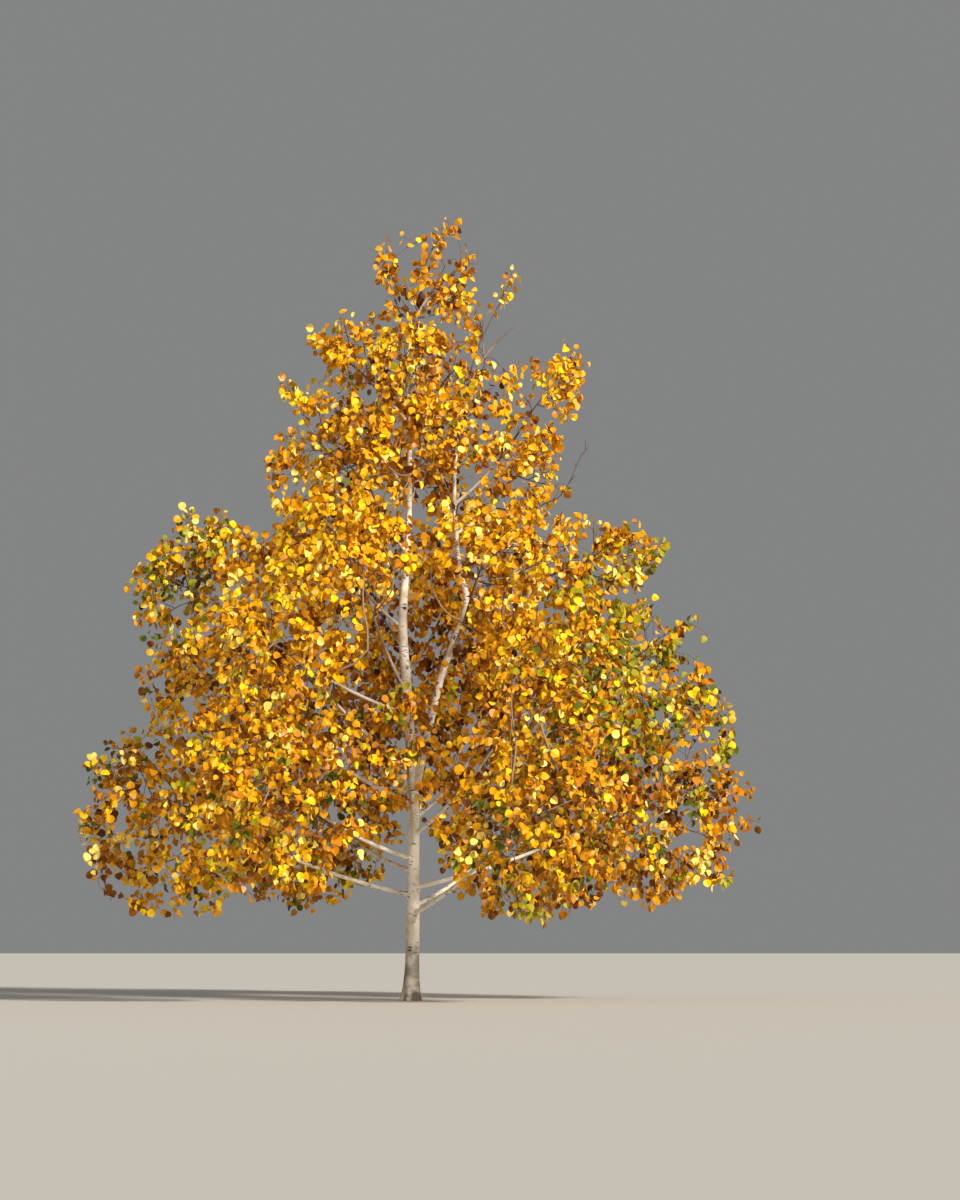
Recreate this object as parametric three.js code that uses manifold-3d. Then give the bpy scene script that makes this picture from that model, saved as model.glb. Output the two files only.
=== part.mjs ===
// A young poplar (quaking aspen) in autumn leaf, about four metres tall, in millimetres.
// +Z is up, +X is the viewer's right and +Y points away from the viewer. The origin is the middle of the
// trunk's flat cut at ground level. The trunk forks low down into a straight leader and a leaning second
// stem. Boughs leave both, and each ends where its mass of foliage begins. A mass is one stem with twigs and
// sprays fused on. A spray is a plate that stands for a whole shoot of small round leaves, so it is larger
// than one leaf of the real tree.
import * as THREE from "three";
import Module from "manifold-3d";

const wasm = await Module();
wasm.setup();

// Centrelines of the two stems: height, right, back, radius
const TRUNK_KNOTS = [
  [0, 0, 0, 36],
  [500, 8, -6, 31],
  [1000, 6, -10, 27.5],
  [1500, -22, -4, 24],
  [1900, -48, 4, 22.5],
  [2300, -22, 8, 14.5],
  [2800, -16, 0, 11.5],
  [3120, -42, -6, 9.5],
  [3380, 2, 2, 7],
];
const SECOND_STEM_KNOTS = [
  [960, 6, -10, 20],
  [1200, 52, -32, 19],
  [1620, 150, -60, 17.5],
  [1960, 268, -76, 15.5],
  [2160, 236, -80, 11.5],
  [2500, 212, -68, 9.5],
  [2800, 228, -52, 7.5],
  [3075, 290, -40, 6],
];
const TRUNK_STEPS = 20;
const TRUNK_CROWDING = 1.5; // rings stand closer together towards the ground
const TRUNK_SIDES = 15;
const STEM_STEPS = 14;
const STEM_SIDES = 8;

// Root flare: five lobes that stand out at the ground and fade upwards
const FLARE_LOBES = 5;
const FLARE_SWELL = 0.55;
const FLARE_LOBE_DEPTH = 0.2;
const FLARE_FADE = 70;

// Boughs
const BOUGH_STEPS = 4;
const BOUGH_SIDES = 6;
const BOUGH_TIP_SHARE = 0.55; // radius at the tip as a share of the radius at the base
const FIRST_CLIMB = 0.3; // share of its climb that a bough makes in the first half of its run
const ENTRY_SHARE = 0.72; // a bough ends this share of a mass's reach short of its middle
const JOINT_GAP = 0.3;

// Foliage
const MASS_STEM_SIDES = 4;
const MASS_STEM_STEPS = 3;
const MASS_STEM_RADIUS = 8; // where a mass's stem leaves the trunk or the second stem itself
const MASS_STEM_TIP_RADIUS = 6;
const STEM_BEND = 0.45; // how far along its run a mass's stem goes straight on before it bends
const STEM_AWAY = 0.35; // where a mass's stem ends, in reaches outward from its middle
const STEM_ABOVE = 0.15; // and in reaches above it
const TWIG_SIDES = 3;
const TWIG_RADIUS = 4;
const TWIG_TIP_SHARE = 0.72;
const GOLDEN_ANGLE = 137.508;
const TWIG_PLACES = [0.05, 0.95]; // the first and the last twig's place along a mass's stem
const TWIG_SPREADS = [1.5, 0.8]; // how far they spread, as shares of their tier's spread
const TWIG_LENGTHS = [0.7, 0.5]; // and how long they are, in reaches
const TWIG_STRAY = 0.6; // how far a twig strays from its even place, in steps to the next twig
const TWIG_TURN_STRAY = [-20, 20]; // from its even turn, in degrees
const TWIG_SPREAD_STRAY = [-8, 8]; // from its even spread, in degrees
const TWIG_LENGTH_STRAY = [0.85, 1.1]; // and how much shorter or longer it is than an even one
const TWIG_CUTS = 8;
const TWIG_SAMPLES = 12; // lengths between the places where a twig is tested against the limbs
const SPRAY_AHEAD = 0.85; // a twig leaves this share of a spray's length free beyond its tip
const STEM_SPRAYS = [0.4, 0.7, 1]; // where sprays stand along the last length of a mass's stem
const TWIG_SPRAYS = [[1], [0.5, 1]]; // and along every first and every second twig
const SPRAY_REACH = 0.75; // the longest spray, in reaches of its mass
const SPRAY_THICKNESS = 7;
const SPRAY_SUNK = 0.2; // a spray's root lies this share of the twig's radius beyond the twig's middle line
const SPRAY_HALF_WIDTH = 0.45;
const SPRAY_MIDDLE = 0.36; // where a spray is widest and thickest, as a share of its length
const SPRAY_ROLL = [-42, 42]; // sprays hang nearly upright, up to this many degrees off
const END_SPRAY_LEAN = [0, 25]; // how far a spray on a tip leans from its twig, in degrees
const SIDE_SPRAY_LEAN = [42, 62]; // and one on a twig's side
const SPRAY_TURN_STRAY = [-60, 60]; // how far a spray's side strays from the left or right of its twig
const SPRAY_LENGTH_STRAY = [0.88, 1.1]; // and how much shorter or longer it is than an even one
const SPRAY_TRIES = 12;
const SPRAY_CUT = 0.035; // share of its length that a spray loses with each try
const WALL_ROOM = 5; // sprays and twigs keep this far from the wall to the next mass
const LIMB_ROOM = 18; // and this far from the surface of every trunk, bough and stem but their own

// The crown in tiers. Each tier gives its boughs' radius at the base (0: the masses' stems leave the host
// itself, and null: they go on from the host's tip), the length of its sprays, how many twigs each stem has
// and how far they spread from it in degrees. Each mass gives its host, the height where it leaves it, and
// its space: the azimuth of the middle (0 is right, 90 is away), how far out and how high it lies, and its
// reach.
const TIERS = [
  {
    name: "skirt", bough: 12, spray: 330, twigs: 8, spread: 60,
    masses: [
      ["right", "trunk", 560, 0, 1200, 960, 540],
      ["back_right", "trunk", 470, 60, 1180, 900, 540],
      ["back_left", "trunk", 640, 120, 1180, 980, 540],
      ["left", "trunk", 520, 180, 1180, 930, 530],
      ["front_left", "trunk", 700, 236, 1130, 990, 520],
      ["front_right", "trunk", 430, 302, 1150, 900, 520],
    ],
  },
  {
    name: "lower", bough: 11, spray: 314, twigs: 8, spread: 58,
    masses: [
      ["right", "second_stem", 1240, 6, 1080, 1660, 480],
      ["back_right", "trunk", 900, 54, 980, 1640, 450],
      ["back_left", "trunk", 1080, 120, 960, 1700, 450],
      ["left", "trunk", 980, 178, 960, 1600, 440],
      ["front_left", "trunk", 1160, 230, 960, 1690, 450],
      ["front_right", "trunk", 820, 314, 1020, 1620, 450],
    ],
  },
  {
    name: "wing", bough: 9, spray: 258, twigs: 8, spread: 50,
    masses: [["left", "trunk", 1420, 171, 1160, 2080, 330]],
  },
  {
    name: "middle", bough: 8.5, spray: 292, twigs: 8, spread: 52,
    masses: [
      ["right", "second_stem", 1985, 2, 900, 2190, 360],
      ["back_right", "trunk", 1620, 62, 600, 2260, 390],
      ["back_left", "trunk", 1760, 124, 590, 2300, 390],
      ["left", "trunk", 1860, 184, 470, 2310, 350],
      ["front_left", "trunk", 1540, 238, 600, 2230, 390],
      ["front_right", "second_stem", 1700, 308, 620, 2200, 380],
    ],
  },
  {
    name: "upper", bough: 8, spray: 264, twigs: 9, spread: 48,
    masses: [
      ["left", "trunk", 2240, 178, 340, 2790, 350],
      ["right", "second_stem", 2330, 2, 600, 2690, 300],
      ["right_tuft", "second_stem", 2480, 356, 710, 3080, 220],
    ],
  },
  {
    name: "core", bough: 0, spray: 264, twigs: 8, spread: 50,
    masses: [
      ["upper_back", "trunk", 2420, 84, 300, 2800, 340],
      ["upper_front_left", "trunk", 2520, 236, 290, 2740, 320],
      ["upper_front_right", "trunk", 2600, 296, 280, 2830, 310],
      ["lower_front", "trunk", 760, 268, 440, 1230, 330],
      ["lower_back", "trunk", 860, 92, 470, 1330, 350],
    ],
  },
  {
    name: "high", bough: 0, spray: 226, twigs: 9, spread: 42,
    masses: [
      ["left", "trunk", 2900, 176, 290, 3230, 300],
      ["back", "trunk", 3000, 82, 210, 3290, 280],
      ["front", "trunk", 2860, 262, 220, 3190, 280],
      ["right", "trunk", 2800, 350, 150, 3170, 260],
    ],
  },
  {
    name: "top", bough: null, spray: 209, twigs: 10, spread: 38,
    masses: [
      ["of_second_stem", "second_stem", 3075, 355, 425, 3350, 290],
      ["of_trunk", "trunk", 3380, 3, 105, 3640, 325],
    ],
  },
];

const BARK = new THREE.MeshStandardMaterial({ color: 0xd9cfb8, roughness: 0.75, metalness: 0 });
const BOUGH_BARK = new THREE.MeshStandardMaterial({ color: 0xb3a289, roughness: 0.8, metalness: 0 });
const GOLD_LEAF = new THREE.MeshStandardMaterial({ color: 0xe0a010, roughness: 0.6, metalness: 0 });
const GREEN_LEAF = new THREE.MeshStandardMaterial({ color: 0xa9a022, roughness: 0.6, metalness: 0 });
const GREENER = ["wing_left", "lower_right", "skirt_right"];

const UP = new THREE.Vector3(0, 0, 1);
const vec = (x, y, z) => new THREE.Vector3(x, y, z);
const mix = (a, b, share) => a + (b - a) * share;
const radians = THREE.MathUtils.degToRad;
const from = (point, direction, distance) => point.clone().addScaledVector(direction, distance);

// Random numbers from 0 to 1 that are the same on every run
function seeded(seed) {
  let state = seed >>> 0;
  return () => {
    state = (state + 0x6d2b79f5) >>> 0;
    let t = state;
    t = Math.imul(t ^ (t >>> 15), t | 1);
    t ^= t + Math.imul(t ^ (t >>> 7), t | 61);
    return ((t ^ (t >>> 14)) >>> 0) / 4294967296;
  };
}

// Two unit vectors across a direction
function across(direction) {
  const reference = Math.abs(direction.z) > 0.9 ? vec(0, 1, 0) : UP;
  const side = direction.clone().cross(reference).normalize();
  return [side, direction.clone().cross(side)];
}

// A direction leant away from another by an angle, towards a turn about it, both in radians
function leant(direction, angle, turn) {
  const [side, up] = across(direction);
  const outward = side.multiplyScalar(Math.cos(turn)).addScaledVector(up, Math.sin(turn));
  return direction.clone().multiplyScalar(Math.cos(angle)).addScaledVector(outward, Math.sin(angle));
}

function tangentAt(points, i) {
  const before = points[Math.max(i - 1, 0)];
  const after = points[Math.min(i + 1, points.length - 1)];
  return after.clone().sub(before).normalize();
}

function pointAlong(points, share) {
  const place = share * (points.length - 1);
  const i = Math.min(Math.floor(place), points.length - 2);
  return points[i].clone().lerp(points[i + 1], place - i);
}

// A limb is a line of points with a radius at each
function limbThrough(knots, steps, crowding = 1) {
  const places = knots.map(([height, right, back]) => vec(right, back, height));
  const curve = new THREE.CatmullRomCurve3(places, false, "catmullrom", 0.5);
  const limb = { points: [], radii: [] };
  for (let i = 0; i <= steps; i++) {
    const share = (i / steps) ** crowding;
    const place = share * (knots.length - 1);
    const knot = Math.min(Math.floor(place), knots.length - 2);
    limb.points.push(curve.getPoint(share));
    limb.radii.push(mix(knots[knot][3], knots[knot + 1][3], place - knot));
  }
  return limb;
}

function limbAlong(curve, baseRadius, tipRadius, steps) {
  const limb = { points: [], radii: [] };
  for (let i = 0; i <= steps; i++) {
    limb.points.push(curve.getPoint(i / steps));
    limb.radii.push(mix(baseRadius, tipRadius, i / steps));
  }
  return limb;
}

function pointAtHeight({ points }, height) {
  const above = points.findIndex((point) => point.z >= height);
  if (above < 1) return points.at(-1).clone();
  const share = (height - points[above - 1].z) / (points[above].z - points[above - 1].z);
  return points[above - 1].clone().lerp(points[above], share);
}

function solid(corners, faces) {
  return new wasm.Manifold(new wasm.Mesh({
    numProp: 3,
    vertProperties: new Float32Array(corners.flatMap((corner) => corner.toArray())),
    triVerts: new Uint32Array(faces.flat()),
  }));
}

// The way that each ring of a tube faces, and the side that its first corner lies on. A limb that ends in a
// spray is turned to suit the spray's plate.
function ringFrames({ points, facing, spray }) {
  const directions = points.map((_, ring) => tangentAt(points, ring));
  if (facing) directions[0] = facing;
  if (spray) directions[points.length - 1] = spray.along;
  let side = spray ? spray.wide : across(tangentAt(points, 0))[0];
  const order = spray ? directions.toReversed() : directions;
  const frames = order.map((direction) => {
    side = side.clone().projectOnPlane(direction).normalize();
    return [direction, side];
  });
  return spray ? frames.reverse() : frames;
}

// A limb's solid: rings of corners along its line. shape gives the share of the radius at an angle and height
function tube(limb, sides, extra = 0, shape = () => 1) {
  const { points, radii, spray } = limb;
  const corners = [];
  ringFrames(limb).forEach(([direction, side], ring) => {
    const up = direction.clone().cross(side);
    for (let i = 0; i < sides; i++) {
      const angle = (2 * Math.PI * i) / sides;
      const radius = radii[ring] * shape(angle, points[ring].z) + extra;
      corners.push(from(from(points[ring], side, radius * Math.cos(angle)), up, radius * Math.sin(angle)));
    }
  });
  const faces = [];
  for (let ring = 0; ring < points.length - 1; ring++) {
    for (let i = 0; i < sides; i++) {
      const here = ring * sides + i;
      const next = ring * sides + (i + 1) % sides;
      faces.push([here, next, next + sides], [here, next + sides, here + sides]);
    }
  }
  const last = corners.length - sides;
  for (let i = 1; i < sides - 1; i++) faces.push([0, i + 1, i]);
  if (spray) {
    faces.push(...plateFaces(last, sides));
    corners.push(...plateCorners(spray));
  } else {
    for (let i = 1; i < sides - 1; i++) faces.push([last, last + i, last + i + 1]);
  }
  return solid(corners, faces);
}

function flare(angle, height) {
  const fade = Math.exp(-height / FLARE_FADE);
  return 1 + fade * (FLARE_SWELL + FLARE_LOBE_DEPTH * Math.cos(FLARE_LOBES * angle));
}

// The largest closed body of a solid, without loose scraps
function mainBody(whole) {
  return whole.decompose().reduce((best, body) => (body.volume() > best.volume() ? body : best));
}

function geometryOf(body) {
  const { vertProperties, triVerts } = body.getMesh();
  return new THREE.BufferGeometry()
    .setAttribute("position", new THREE.BufferAttribute(vertProperties, 3))
    .setIndex(new THREE.BufferAttribute(triVerts, 1));
}

// Distance from a point to a limb's surface
function distanceToLimb(point, { points, radii }) {
  let least = Infinity;
  for (let i = 1; i < points.length; i++) {
    const run = points[i].clone().sub(points[i - 1]);
    const share = THREE.MathUtils.clamp(point.clone().sub(points[i - 1]).dot(run) / run.lengthSq(), 0, 1);
    const away = point.distanceTo(from(points[i - 1], run, share));
    least = Math.min(least, away - mix(radii[i - 1], radii[i], share));
  }
  return least;
}

// A mass's space is a ball, cut off flat where the balls of its neighbours begin
function inSpace(point, mass, room) {
  if (point.distanceTo(mass.middle) > mass.reach) return false;
  return mass.walls.every(({ direction, distance }) => (
    point.clone().sub(mass.middle).dot(direction) < distance - room));
}

const clearOf = (point, obstacles) => obstacles.every((limb) => distanceToLimb(point, limb) > LIMB_ROOM);

// A spray's plate is a kite with its blunt end sunk in the twig, thickest in the middle
function sprayRim({ root, along, wide, length }) {
  const shoulder = from(root, along, SPRAY_MIDDLE * length);
  const half = SPRAY_HALF_WIDTH * length;
  return [root, from(shoulder, wide, -half), from(root, along, length), from(shoulder, wide, half)];
}

// The plate's corners beyond its root: right, upper, left and lower round its widest place, and the tip
function plateCorners(spray) {
  const [, left, tip, right] = sprayRim(spray);
  const normal = spray.along.clone().cross(spray.wide).normalize();
  const middle = left.clone().lerp(right, 0.5);
  const upper = from(middle, normal, SPRAY_THICKNESS / 2);
  const lower = from(middle, normal, -SPRAY_THICKNESS / 2);
  return [right, upper, left, lower, tip];
}

// A plate's faces where it goes on from the last ring of a limb's tube, whose corners are numbered from first
function plateFaces(first, sides) {
  const plate = first + sides;
  const tip = plate + 4;
  const faces = [];
  let passed = 0;
  for (let i = 0; i < 4; i++) {
    const here = plate + i;
    const next = plate + (i + 1) % 4;
    const low = first + passed % sides;
    faces.push([here, next, tip], [low, next, here]);
    if (passed < ((i + 1) * sides) / 4) {
      passed += 1;
      faces.push([low, first + passed % sides, next]);
    }
  }
  return faces;
}

function spraySolid(spray) {
  const corners = [spray.root, ...plateCorners(spray)];
  const faces = [1, 2, 3, 4].flatMap((here) => {
    const next = (here % 4) + 1;
    return [[here, next, 5], [0, next, here]];
  });
  return solid(corners, faces);
}

// Points all over a spray's plate
function sprayProbes(spray) {
  const [root, left, tip, right] = sprayRim(spray);
  const middle = left.clone().lerp(right, 0.5);
  const probes = [];
  for (const share of [0, 0.25, 0.5, 0.75, 1]) {
    for (const shoulder of [left, right]) {
      const rib = middle.clone().lerp(shoulder, share);
      probes.push(rib, rib.clone().lerp(tip, 0.33), rib.clone().lerp(tip, 0.66), rib.clone().lerp(root, 0.5));
    }
  }
  return probes;
}

// Whether a line between two points passes through a spray's plate
function pierces(start, end, spray) {
  const [root, left, tip, right] = sprayRim(spray);
  const run = end.clone().sub(start);
  const ray = new THREE.Ray(start, run.clone().normalize());
  return [[root, left, right], [tip, left, right]].some((triangle) => {
    const hit = ray.intersectTriangle(...triangle, false, vec(0, 0, 0));
    return hit !== null && hit.distanceTo(start) < run.length();
  });
}

const edgesOf = (spray) => sprayRim(spray).map((corner, i, rim) => [corner, rim[(i + 1) % rim.length]]);

function spraysCross(one, other) {
  return edgesOf(one).some(([a, b]) => pierces(a, b, other))
    || edgesOf(other).some(([a, b]) => pierces(a, b, one));
}

function limbPierces(limb, spray) {
  return limb.points.slice(1).some((point, i) => pierces(limb.points[i], point, spray));
}

// A twig is cut back until it and a spray beyond it stay in its mass's space, and is left out where it can't
function fittedTwig(start, direction, length, radius, mass, obstacles) {
  for (let i = 0; i < TWIG_CUTS; i++) {
    const end = from(start, direction, length * (1 - i / (TWIG_CUTS + 1)));
    const beyond = from(end, direction, SPRAY_AHEAD * mass.spray);
    const inside = [start, end].every((point) => inSpace(point, mass, WALL_ROOM + radius))
      && inSpace(beyond, mass, WALL_ROOM);
    const samples = Array.from({ length: TWIG_SAMPLES + 1 }, (_, k) => (
      start.clone().lerp(end, k / TWIG_SAMPLES)));
    if (inside && samples.every((point) => clearOf(point, obstacles))) {
      return { points: [start, end], radii: [radius, radius * TWIG_TIP_SHARE] };
    }
  }
  return null;
}

// The spray at one place on a twig, turned and shortened until it fits its space and crosses nothing, or null
function fittedSpray(twig, place, share, mass, others, sprays, obstacles) {
  const random = seeded(mass.seed + twig.seed + place);
  const last = twig.points.length - 1;
  const ahead = tangentAt(twig.points, Math.round(share * last));
  const onTwig = pointAlong(twig.points, share);
  const sunk = mix(twig.radii[0], twig.radii[last], share) * SPRAY_SUNK;
  for (let i = 0; i < SPRAY_TRIES; i++) {
    const lean = mix(...(share === 1 ? END_SPRAY_LEAN : SIDE_SPRAY_LEAN), random());
    const turn = (place % 2 ? 180 : 0) + mix(...SPRAY_TURN_STRAY, random());
    const along = leant(ahead, radians(lean), radians(turn));
    const wide = leant(along, Math.PI / 2, radians(90 + mix(...SPRAY_ROLL, random())));
    const length = mass.spray * mix(...SPRAY_LENGTH_STRAY, random()) * (1 - SPRAY_CUT * i);
    const spray = { root: share === 1 ? onTwig : from(onTwig, along, -sunk), along, wide, length };
    const inside = sprayRim(spray).every((corner) => inSpace(corner, mass, WALL_ROOM));
    const crossing = sprays.some((other) => spraysCross(spray, other))
      || [...others, ...obstacles].some((limb) => limbPierces(limb, spray));
    if (inside && !crossing && sprayProbes(spray).every((probe) => clearOf(probe, obstacles))) return spray;
  }
  return null;
}

// Everything that a mass's stem carries: twigs wound round it, and sprays on these and on the stem's own end.
// The sprays on the tips of the stem and the twigs are kept with these, and go on from them in one solid.
function growMass(mass, obstacles) {
  const { points, radii } = mass.stem;
  const twigs = [];
  for (let i = 0; i < mass.twigs; i++) {
    const random = seeded(mass.seed + i);
    const share = mix(...TWIG_PLACES, (i + TWIG_STRAY * random()) / mass.twigs);
    const ahead = tangentAt(points, Math.round(share * (points.length - 1)));
    const turn = radians(i * GOLDEN_ANGLE + mix(...TWIG_TURN_STRAY, random()));
    const spread = mass.spread * mix(...TWIG_SPREADS, share) + mix(...TWIG_SPREAD_STRAY, random());
    const direction = leant(ahead, radians(spread), turn);
    const length = mass.reach * mix(...TWIG_LENGTHS, share) * mix(...TWIG_LENGTH_STRAY, random());
    const radius = Math.min(TWIG_RADIUS, mix(radii[0], radii.at(-1), share));
    const twig = fittedTwig(pointAlong(points, share), direction, length, radius, mass, obstacles);
    if (twig) twigs.push({ ...twig, seed: 1000 * (i + 2) });
  }
  const sprays = [];
  const stemEnd = { points: points.slice(-2), radii: radii.slice(-2), seed: 1000 };
  [stemEnd, ...twigs].forEach((carrier, i) => {
    const others = i === 0 ? twigs : [mass.stem, ...twigs.filter((twig) => twig !== carrier)];
    const shares = i === 0 ? STEM_SPRAYS : TWIG_SPRAYS[(i + 1) % 2];
    shares.forEach((share, place) => {
      const spray = fittedSpray(carrier, place, share, mass, others, sprays, obstacles);
      if (!spray) return;
      sprays.push(spray);
      if (share === 1) carrier.spray = spray;
    });
  });
  mass.stem.spray = stemEnd.spray;
  const endSprays = [stemEnd, ...twigs].map((carrier) => carrier.spray);
  return { twigs, sideSprays: sprays.filter((spray) => !endSprays.includes(spray)) };
}

const trunkLine = limbThrough(TRUNK_KNOTS, TRUNK_STEPS, TRUNK_CROWDING);
const limbs = {
  trunk: { ...trunkLine, facing: UP, sides: TRUNK_SIDES, shape: flare },
  second_stem: { ...limbThrough(SECOND_STEM_KNOTS, STEM_STEPS), sides: STEM_SIDES, host: "trunk" },
};

const masses = TIERS.flatMap((tier) => tier.masses.map((row) => {
  const [place, host, leaves, azimuth, out, height, reach] = row;
  const middle = vec(out * Math.cos(radians(azimuth)), out * Math.sin(radians(azimuth)), height);
  const { bough, twigs, spread } = tier;
  const spray = Math.min(tier.spray, reach * SPRAY_REACH);
  return { name: `${tier.name}_${place}`, host, leaves, middle, reach, bough, spray, twigs, spread };
}));

masses.forEach((mass, i) => {
  mass.seed = 10000 * (i + 1);
  mass.walls = masses.filter((other) => other !== mass).map((other) => {
    const apart = other.middle.clone().sub(mass.middle);
    const distance = (apart.lengthSq() + mass.reach ** 2 - other.reach ** 2) / (2 * apart.length());
    return { direction: apart.normalize(), distance };
  });
});

// Each mass's bough, where it has one, and the stem that goes on from it
for (const mass of masses) {
  const foot = pointAtHeight(limbs[mass.host], mass.leaves);
  if (mass.bough) {
    const inward = foot.clone().sub(mass.middle).normalize();
    const tip = from(mass.middle, inward, mass.reach * ENTRY_SHARE);
    const bend = foot.clone().lerp(tip, 0.5).setZ(mix(foot.z, tip.z, FIRST_CLIMB));
    const curve = new THREE.QuadraticBezierCurve3(foot, bend, tip);
    const limb = limbAlong(curve, mass.bough, mass.bough * BOUGH_TIP_SHARE, BOUGH_STEPS);
    limbs[`bough_${mass.name}`] = { ...limb, sides: BOUGH_SIDES, host: mass.host };
    mass.host = `bough_${mass.name}`;
  }
  const host = limbs[mass.host];
  const fromTip = mass.bough !== 0;
  const ahead = fromTip
    ? tangentAt(host.points, host.points.length - 1)
    : mass.middle.clone().sub(foot).normalize();
  const start = fromTip ? from(host.points.at(-1), ahead, JOINT_GAP) : foot;
  const away = ahead.clone().setZ(0).normalize();
  const end = from(from(mass.middle, away, mass.reach * STEM_AWAY), UP, mass.reach * STEM_ABOVE);
  const bend = from(start, ahead, start.distanceTo(end) * STEM_BEND);
  const curve = new THREE.QuadraticBezierCurve3(start, bend, end);
  const radius = fromTip ? host.radii.at(-1) : MASS_STEM_RADIUS;
  const tipRadius = Math.min(radius, MASS_STEM_TIP_RADIUS);
  mass.stem = { ...limbAlong(curve, radius, tipRadius, MASS_STEM_STEPS), facing: ahead };
}

const tree = new THREE.Group();
function addNode(name, body, material) {
  const mesh = new THREE.Mesh(geometryOf(mainBody(body)), material);
  mesh.name = name;
  tree.add(mesh);
}

// A limb's solid, with a little extra radius where it cuts a clear seat in whatever meets it
const limbSolid = (limb, extra = 0) => tube(limb, limb.sides, extra, limb.shape);

for (const [name, limb] of Object.entries(limbs)) {
  const body = limbSolid(limb);
  const seated = limb.host ? body.subtract(limbSolid(limbs[limb.host], JOINT_GAP)) : body;
  addNode(name, seated, name.startsWith("bough") ? BOUGH_BARK : BARK);
}

for (const mass of masses) {
  const otherStems = masses.filter((other) => other !== mass).map((other) => other.stem);
  const { twigs, sideSprays } = growMass(mass, [...Object.values(limbs), ...otherStems]);
  const body = wasm.Manifold.union([
    tube(mass.stem, MASS_STEM_SIDES),
    ...twigs.map((twig) => tube(twig, TWIG_SIDES)),
    ...sideSprays.map(spraySolid),
  ]);
  const seated = mass.bough === 0 ? body.subtract(limbSolid(limbs[mass.host], JOINT_GAP)) : body;
  addNode(`foliage_${mass.name}`, seated, GREENER.includes(mass.name) ? GREEN_LEAF : GOLD_LEAF);
}

export default tree;
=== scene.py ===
"""A young poplar (quaking aspen) in autumn leaf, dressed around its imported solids.

The plant grows here by the rule of the part's source, in the same millimetres: the same limbs, the same
spaces for its masses of foliage, the same twigs and the same places for sprays. Each spray is then a real
shoot with side shoots, leaf stalks and round leaves of life size.
"""

import logging
import math
from collections.abc import Sequence
from dataclasses import dataclass, field
from enum import Enum
from itertools import product
from typing import NamedTuple

import bpy
import numpy as np
from bpy.types import Light, Material, Node, NodeSocket, NodeTree, Object
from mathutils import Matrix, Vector, noise

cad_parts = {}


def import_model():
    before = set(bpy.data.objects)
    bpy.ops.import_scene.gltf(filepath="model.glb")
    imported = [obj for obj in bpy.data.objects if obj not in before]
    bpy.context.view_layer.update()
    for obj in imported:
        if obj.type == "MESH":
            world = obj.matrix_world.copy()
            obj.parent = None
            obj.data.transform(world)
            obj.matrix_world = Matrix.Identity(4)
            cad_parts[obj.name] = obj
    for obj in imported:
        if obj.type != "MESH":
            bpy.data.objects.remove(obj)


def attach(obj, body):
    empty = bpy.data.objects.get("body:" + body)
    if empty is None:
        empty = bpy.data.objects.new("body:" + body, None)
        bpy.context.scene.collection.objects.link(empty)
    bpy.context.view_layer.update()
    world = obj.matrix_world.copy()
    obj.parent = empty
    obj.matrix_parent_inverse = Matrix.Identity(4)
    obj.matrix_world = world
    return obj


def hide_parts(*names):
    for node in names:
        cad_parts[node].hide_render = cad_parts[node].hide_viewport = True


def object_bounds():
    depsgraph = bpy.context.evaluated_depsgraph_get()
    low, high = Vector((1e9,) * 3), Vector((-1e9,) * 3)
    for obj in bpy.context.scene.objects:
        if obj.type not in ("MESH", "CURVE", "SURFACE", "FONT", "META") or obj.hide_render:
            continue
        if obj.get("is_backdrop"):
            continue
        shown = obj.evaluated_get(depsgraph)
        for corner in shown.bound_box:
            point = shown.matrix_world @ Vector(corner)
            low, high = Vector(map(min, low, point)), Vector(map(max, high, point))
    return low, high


Pair = tuple[float, float]
Triple = tuple[float, float, float]
Array = np.ndarray

LOG = logging.getLogger("poplar")
BODY = "root"
MM = 0.001
UP = np.array([0.0, 0.0, 1.0])
AWAY = np.array([0.0, 1.0, 0.0])
GOLDEN_ANGLE = 137.508
STEEP = 0.9
WELD = 0.00001
MASK = 0xFFFFFFFF
SEED_STEP = 0x6D2B79F5


# Numbers and lines


class SeededRandom:
    """Numbers from 0 to 1, the same run of them for a seed as in the part's source."""

    def __init__(self, seed: int) -> None:
        """Starts the run of a seed."""
        self.state = seed & MASK

    def next(self) -> float:
        """The next number of the run.

        Returns:
            A number from 0 to 1.
        """
        self.state = (self.state + SEED_STEP) & MASK
        t = self.state
        t = ((t ^ (t >> 15)) * (t | 1)) & MASK
        t ^= (t + (((t ^ (t >> 7)) * (t | 61)) & MASK)) & MASK
        return ((t ^ (t >> 14)) & MASK) / (MASK + 1)

    def between(self, low: float, high: float) -> float:
        """The next number of the run, spread from low to high."""
        return low + (high - low) * self.next()


def unit(vectors: Array) -> Array:
    """Vectors in the last axis of an array, each at length 1."""
    return vectors / np.maximum(np.linalg.norm(vectors, axis=-1, keepdims=True), 1e-9)


def mix(low: float, high: float, share: float) -> float:
    """The number that lies a share of the way from low to high."""
    return low + (high - low) * share


def ramp(value: float, low: float, high: float) -> float:
    """How far a value has gone from low to high, from 0 to 1, with soft ends."""
    share = min(max((value - low) / (high - low), 0.0), 1.0)
    return share * share * (3 - 2 * share)


def across(direction: Array) -> tuple[Array, Array]:
    """Two unit vectors across a direction."""
    side = unit(np.cross(direction, AWAY if abs(direction[2]) > STEEP else UP))
    return side, np.cross(direction, side)


def leant(direction: Array, angle: float, turn: float) -> Array:
    """A direction leant away from another.

    Args:
        direction: the direction that it leans away from, a unit vector.
        angle: how far it leans, in degrees.
        turn: towards which side, in degrees about the direction.

    Returns:
        The new direction, a unit vector.
    """
    side, up = across(direction)
    outward = side * math.cos(math.radians(turn)) + up * math.sin(math.radians(turn))
    return direction * math.cos(math.radians(angle)) + outward * math.sin(math.radians(angle))


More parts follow.
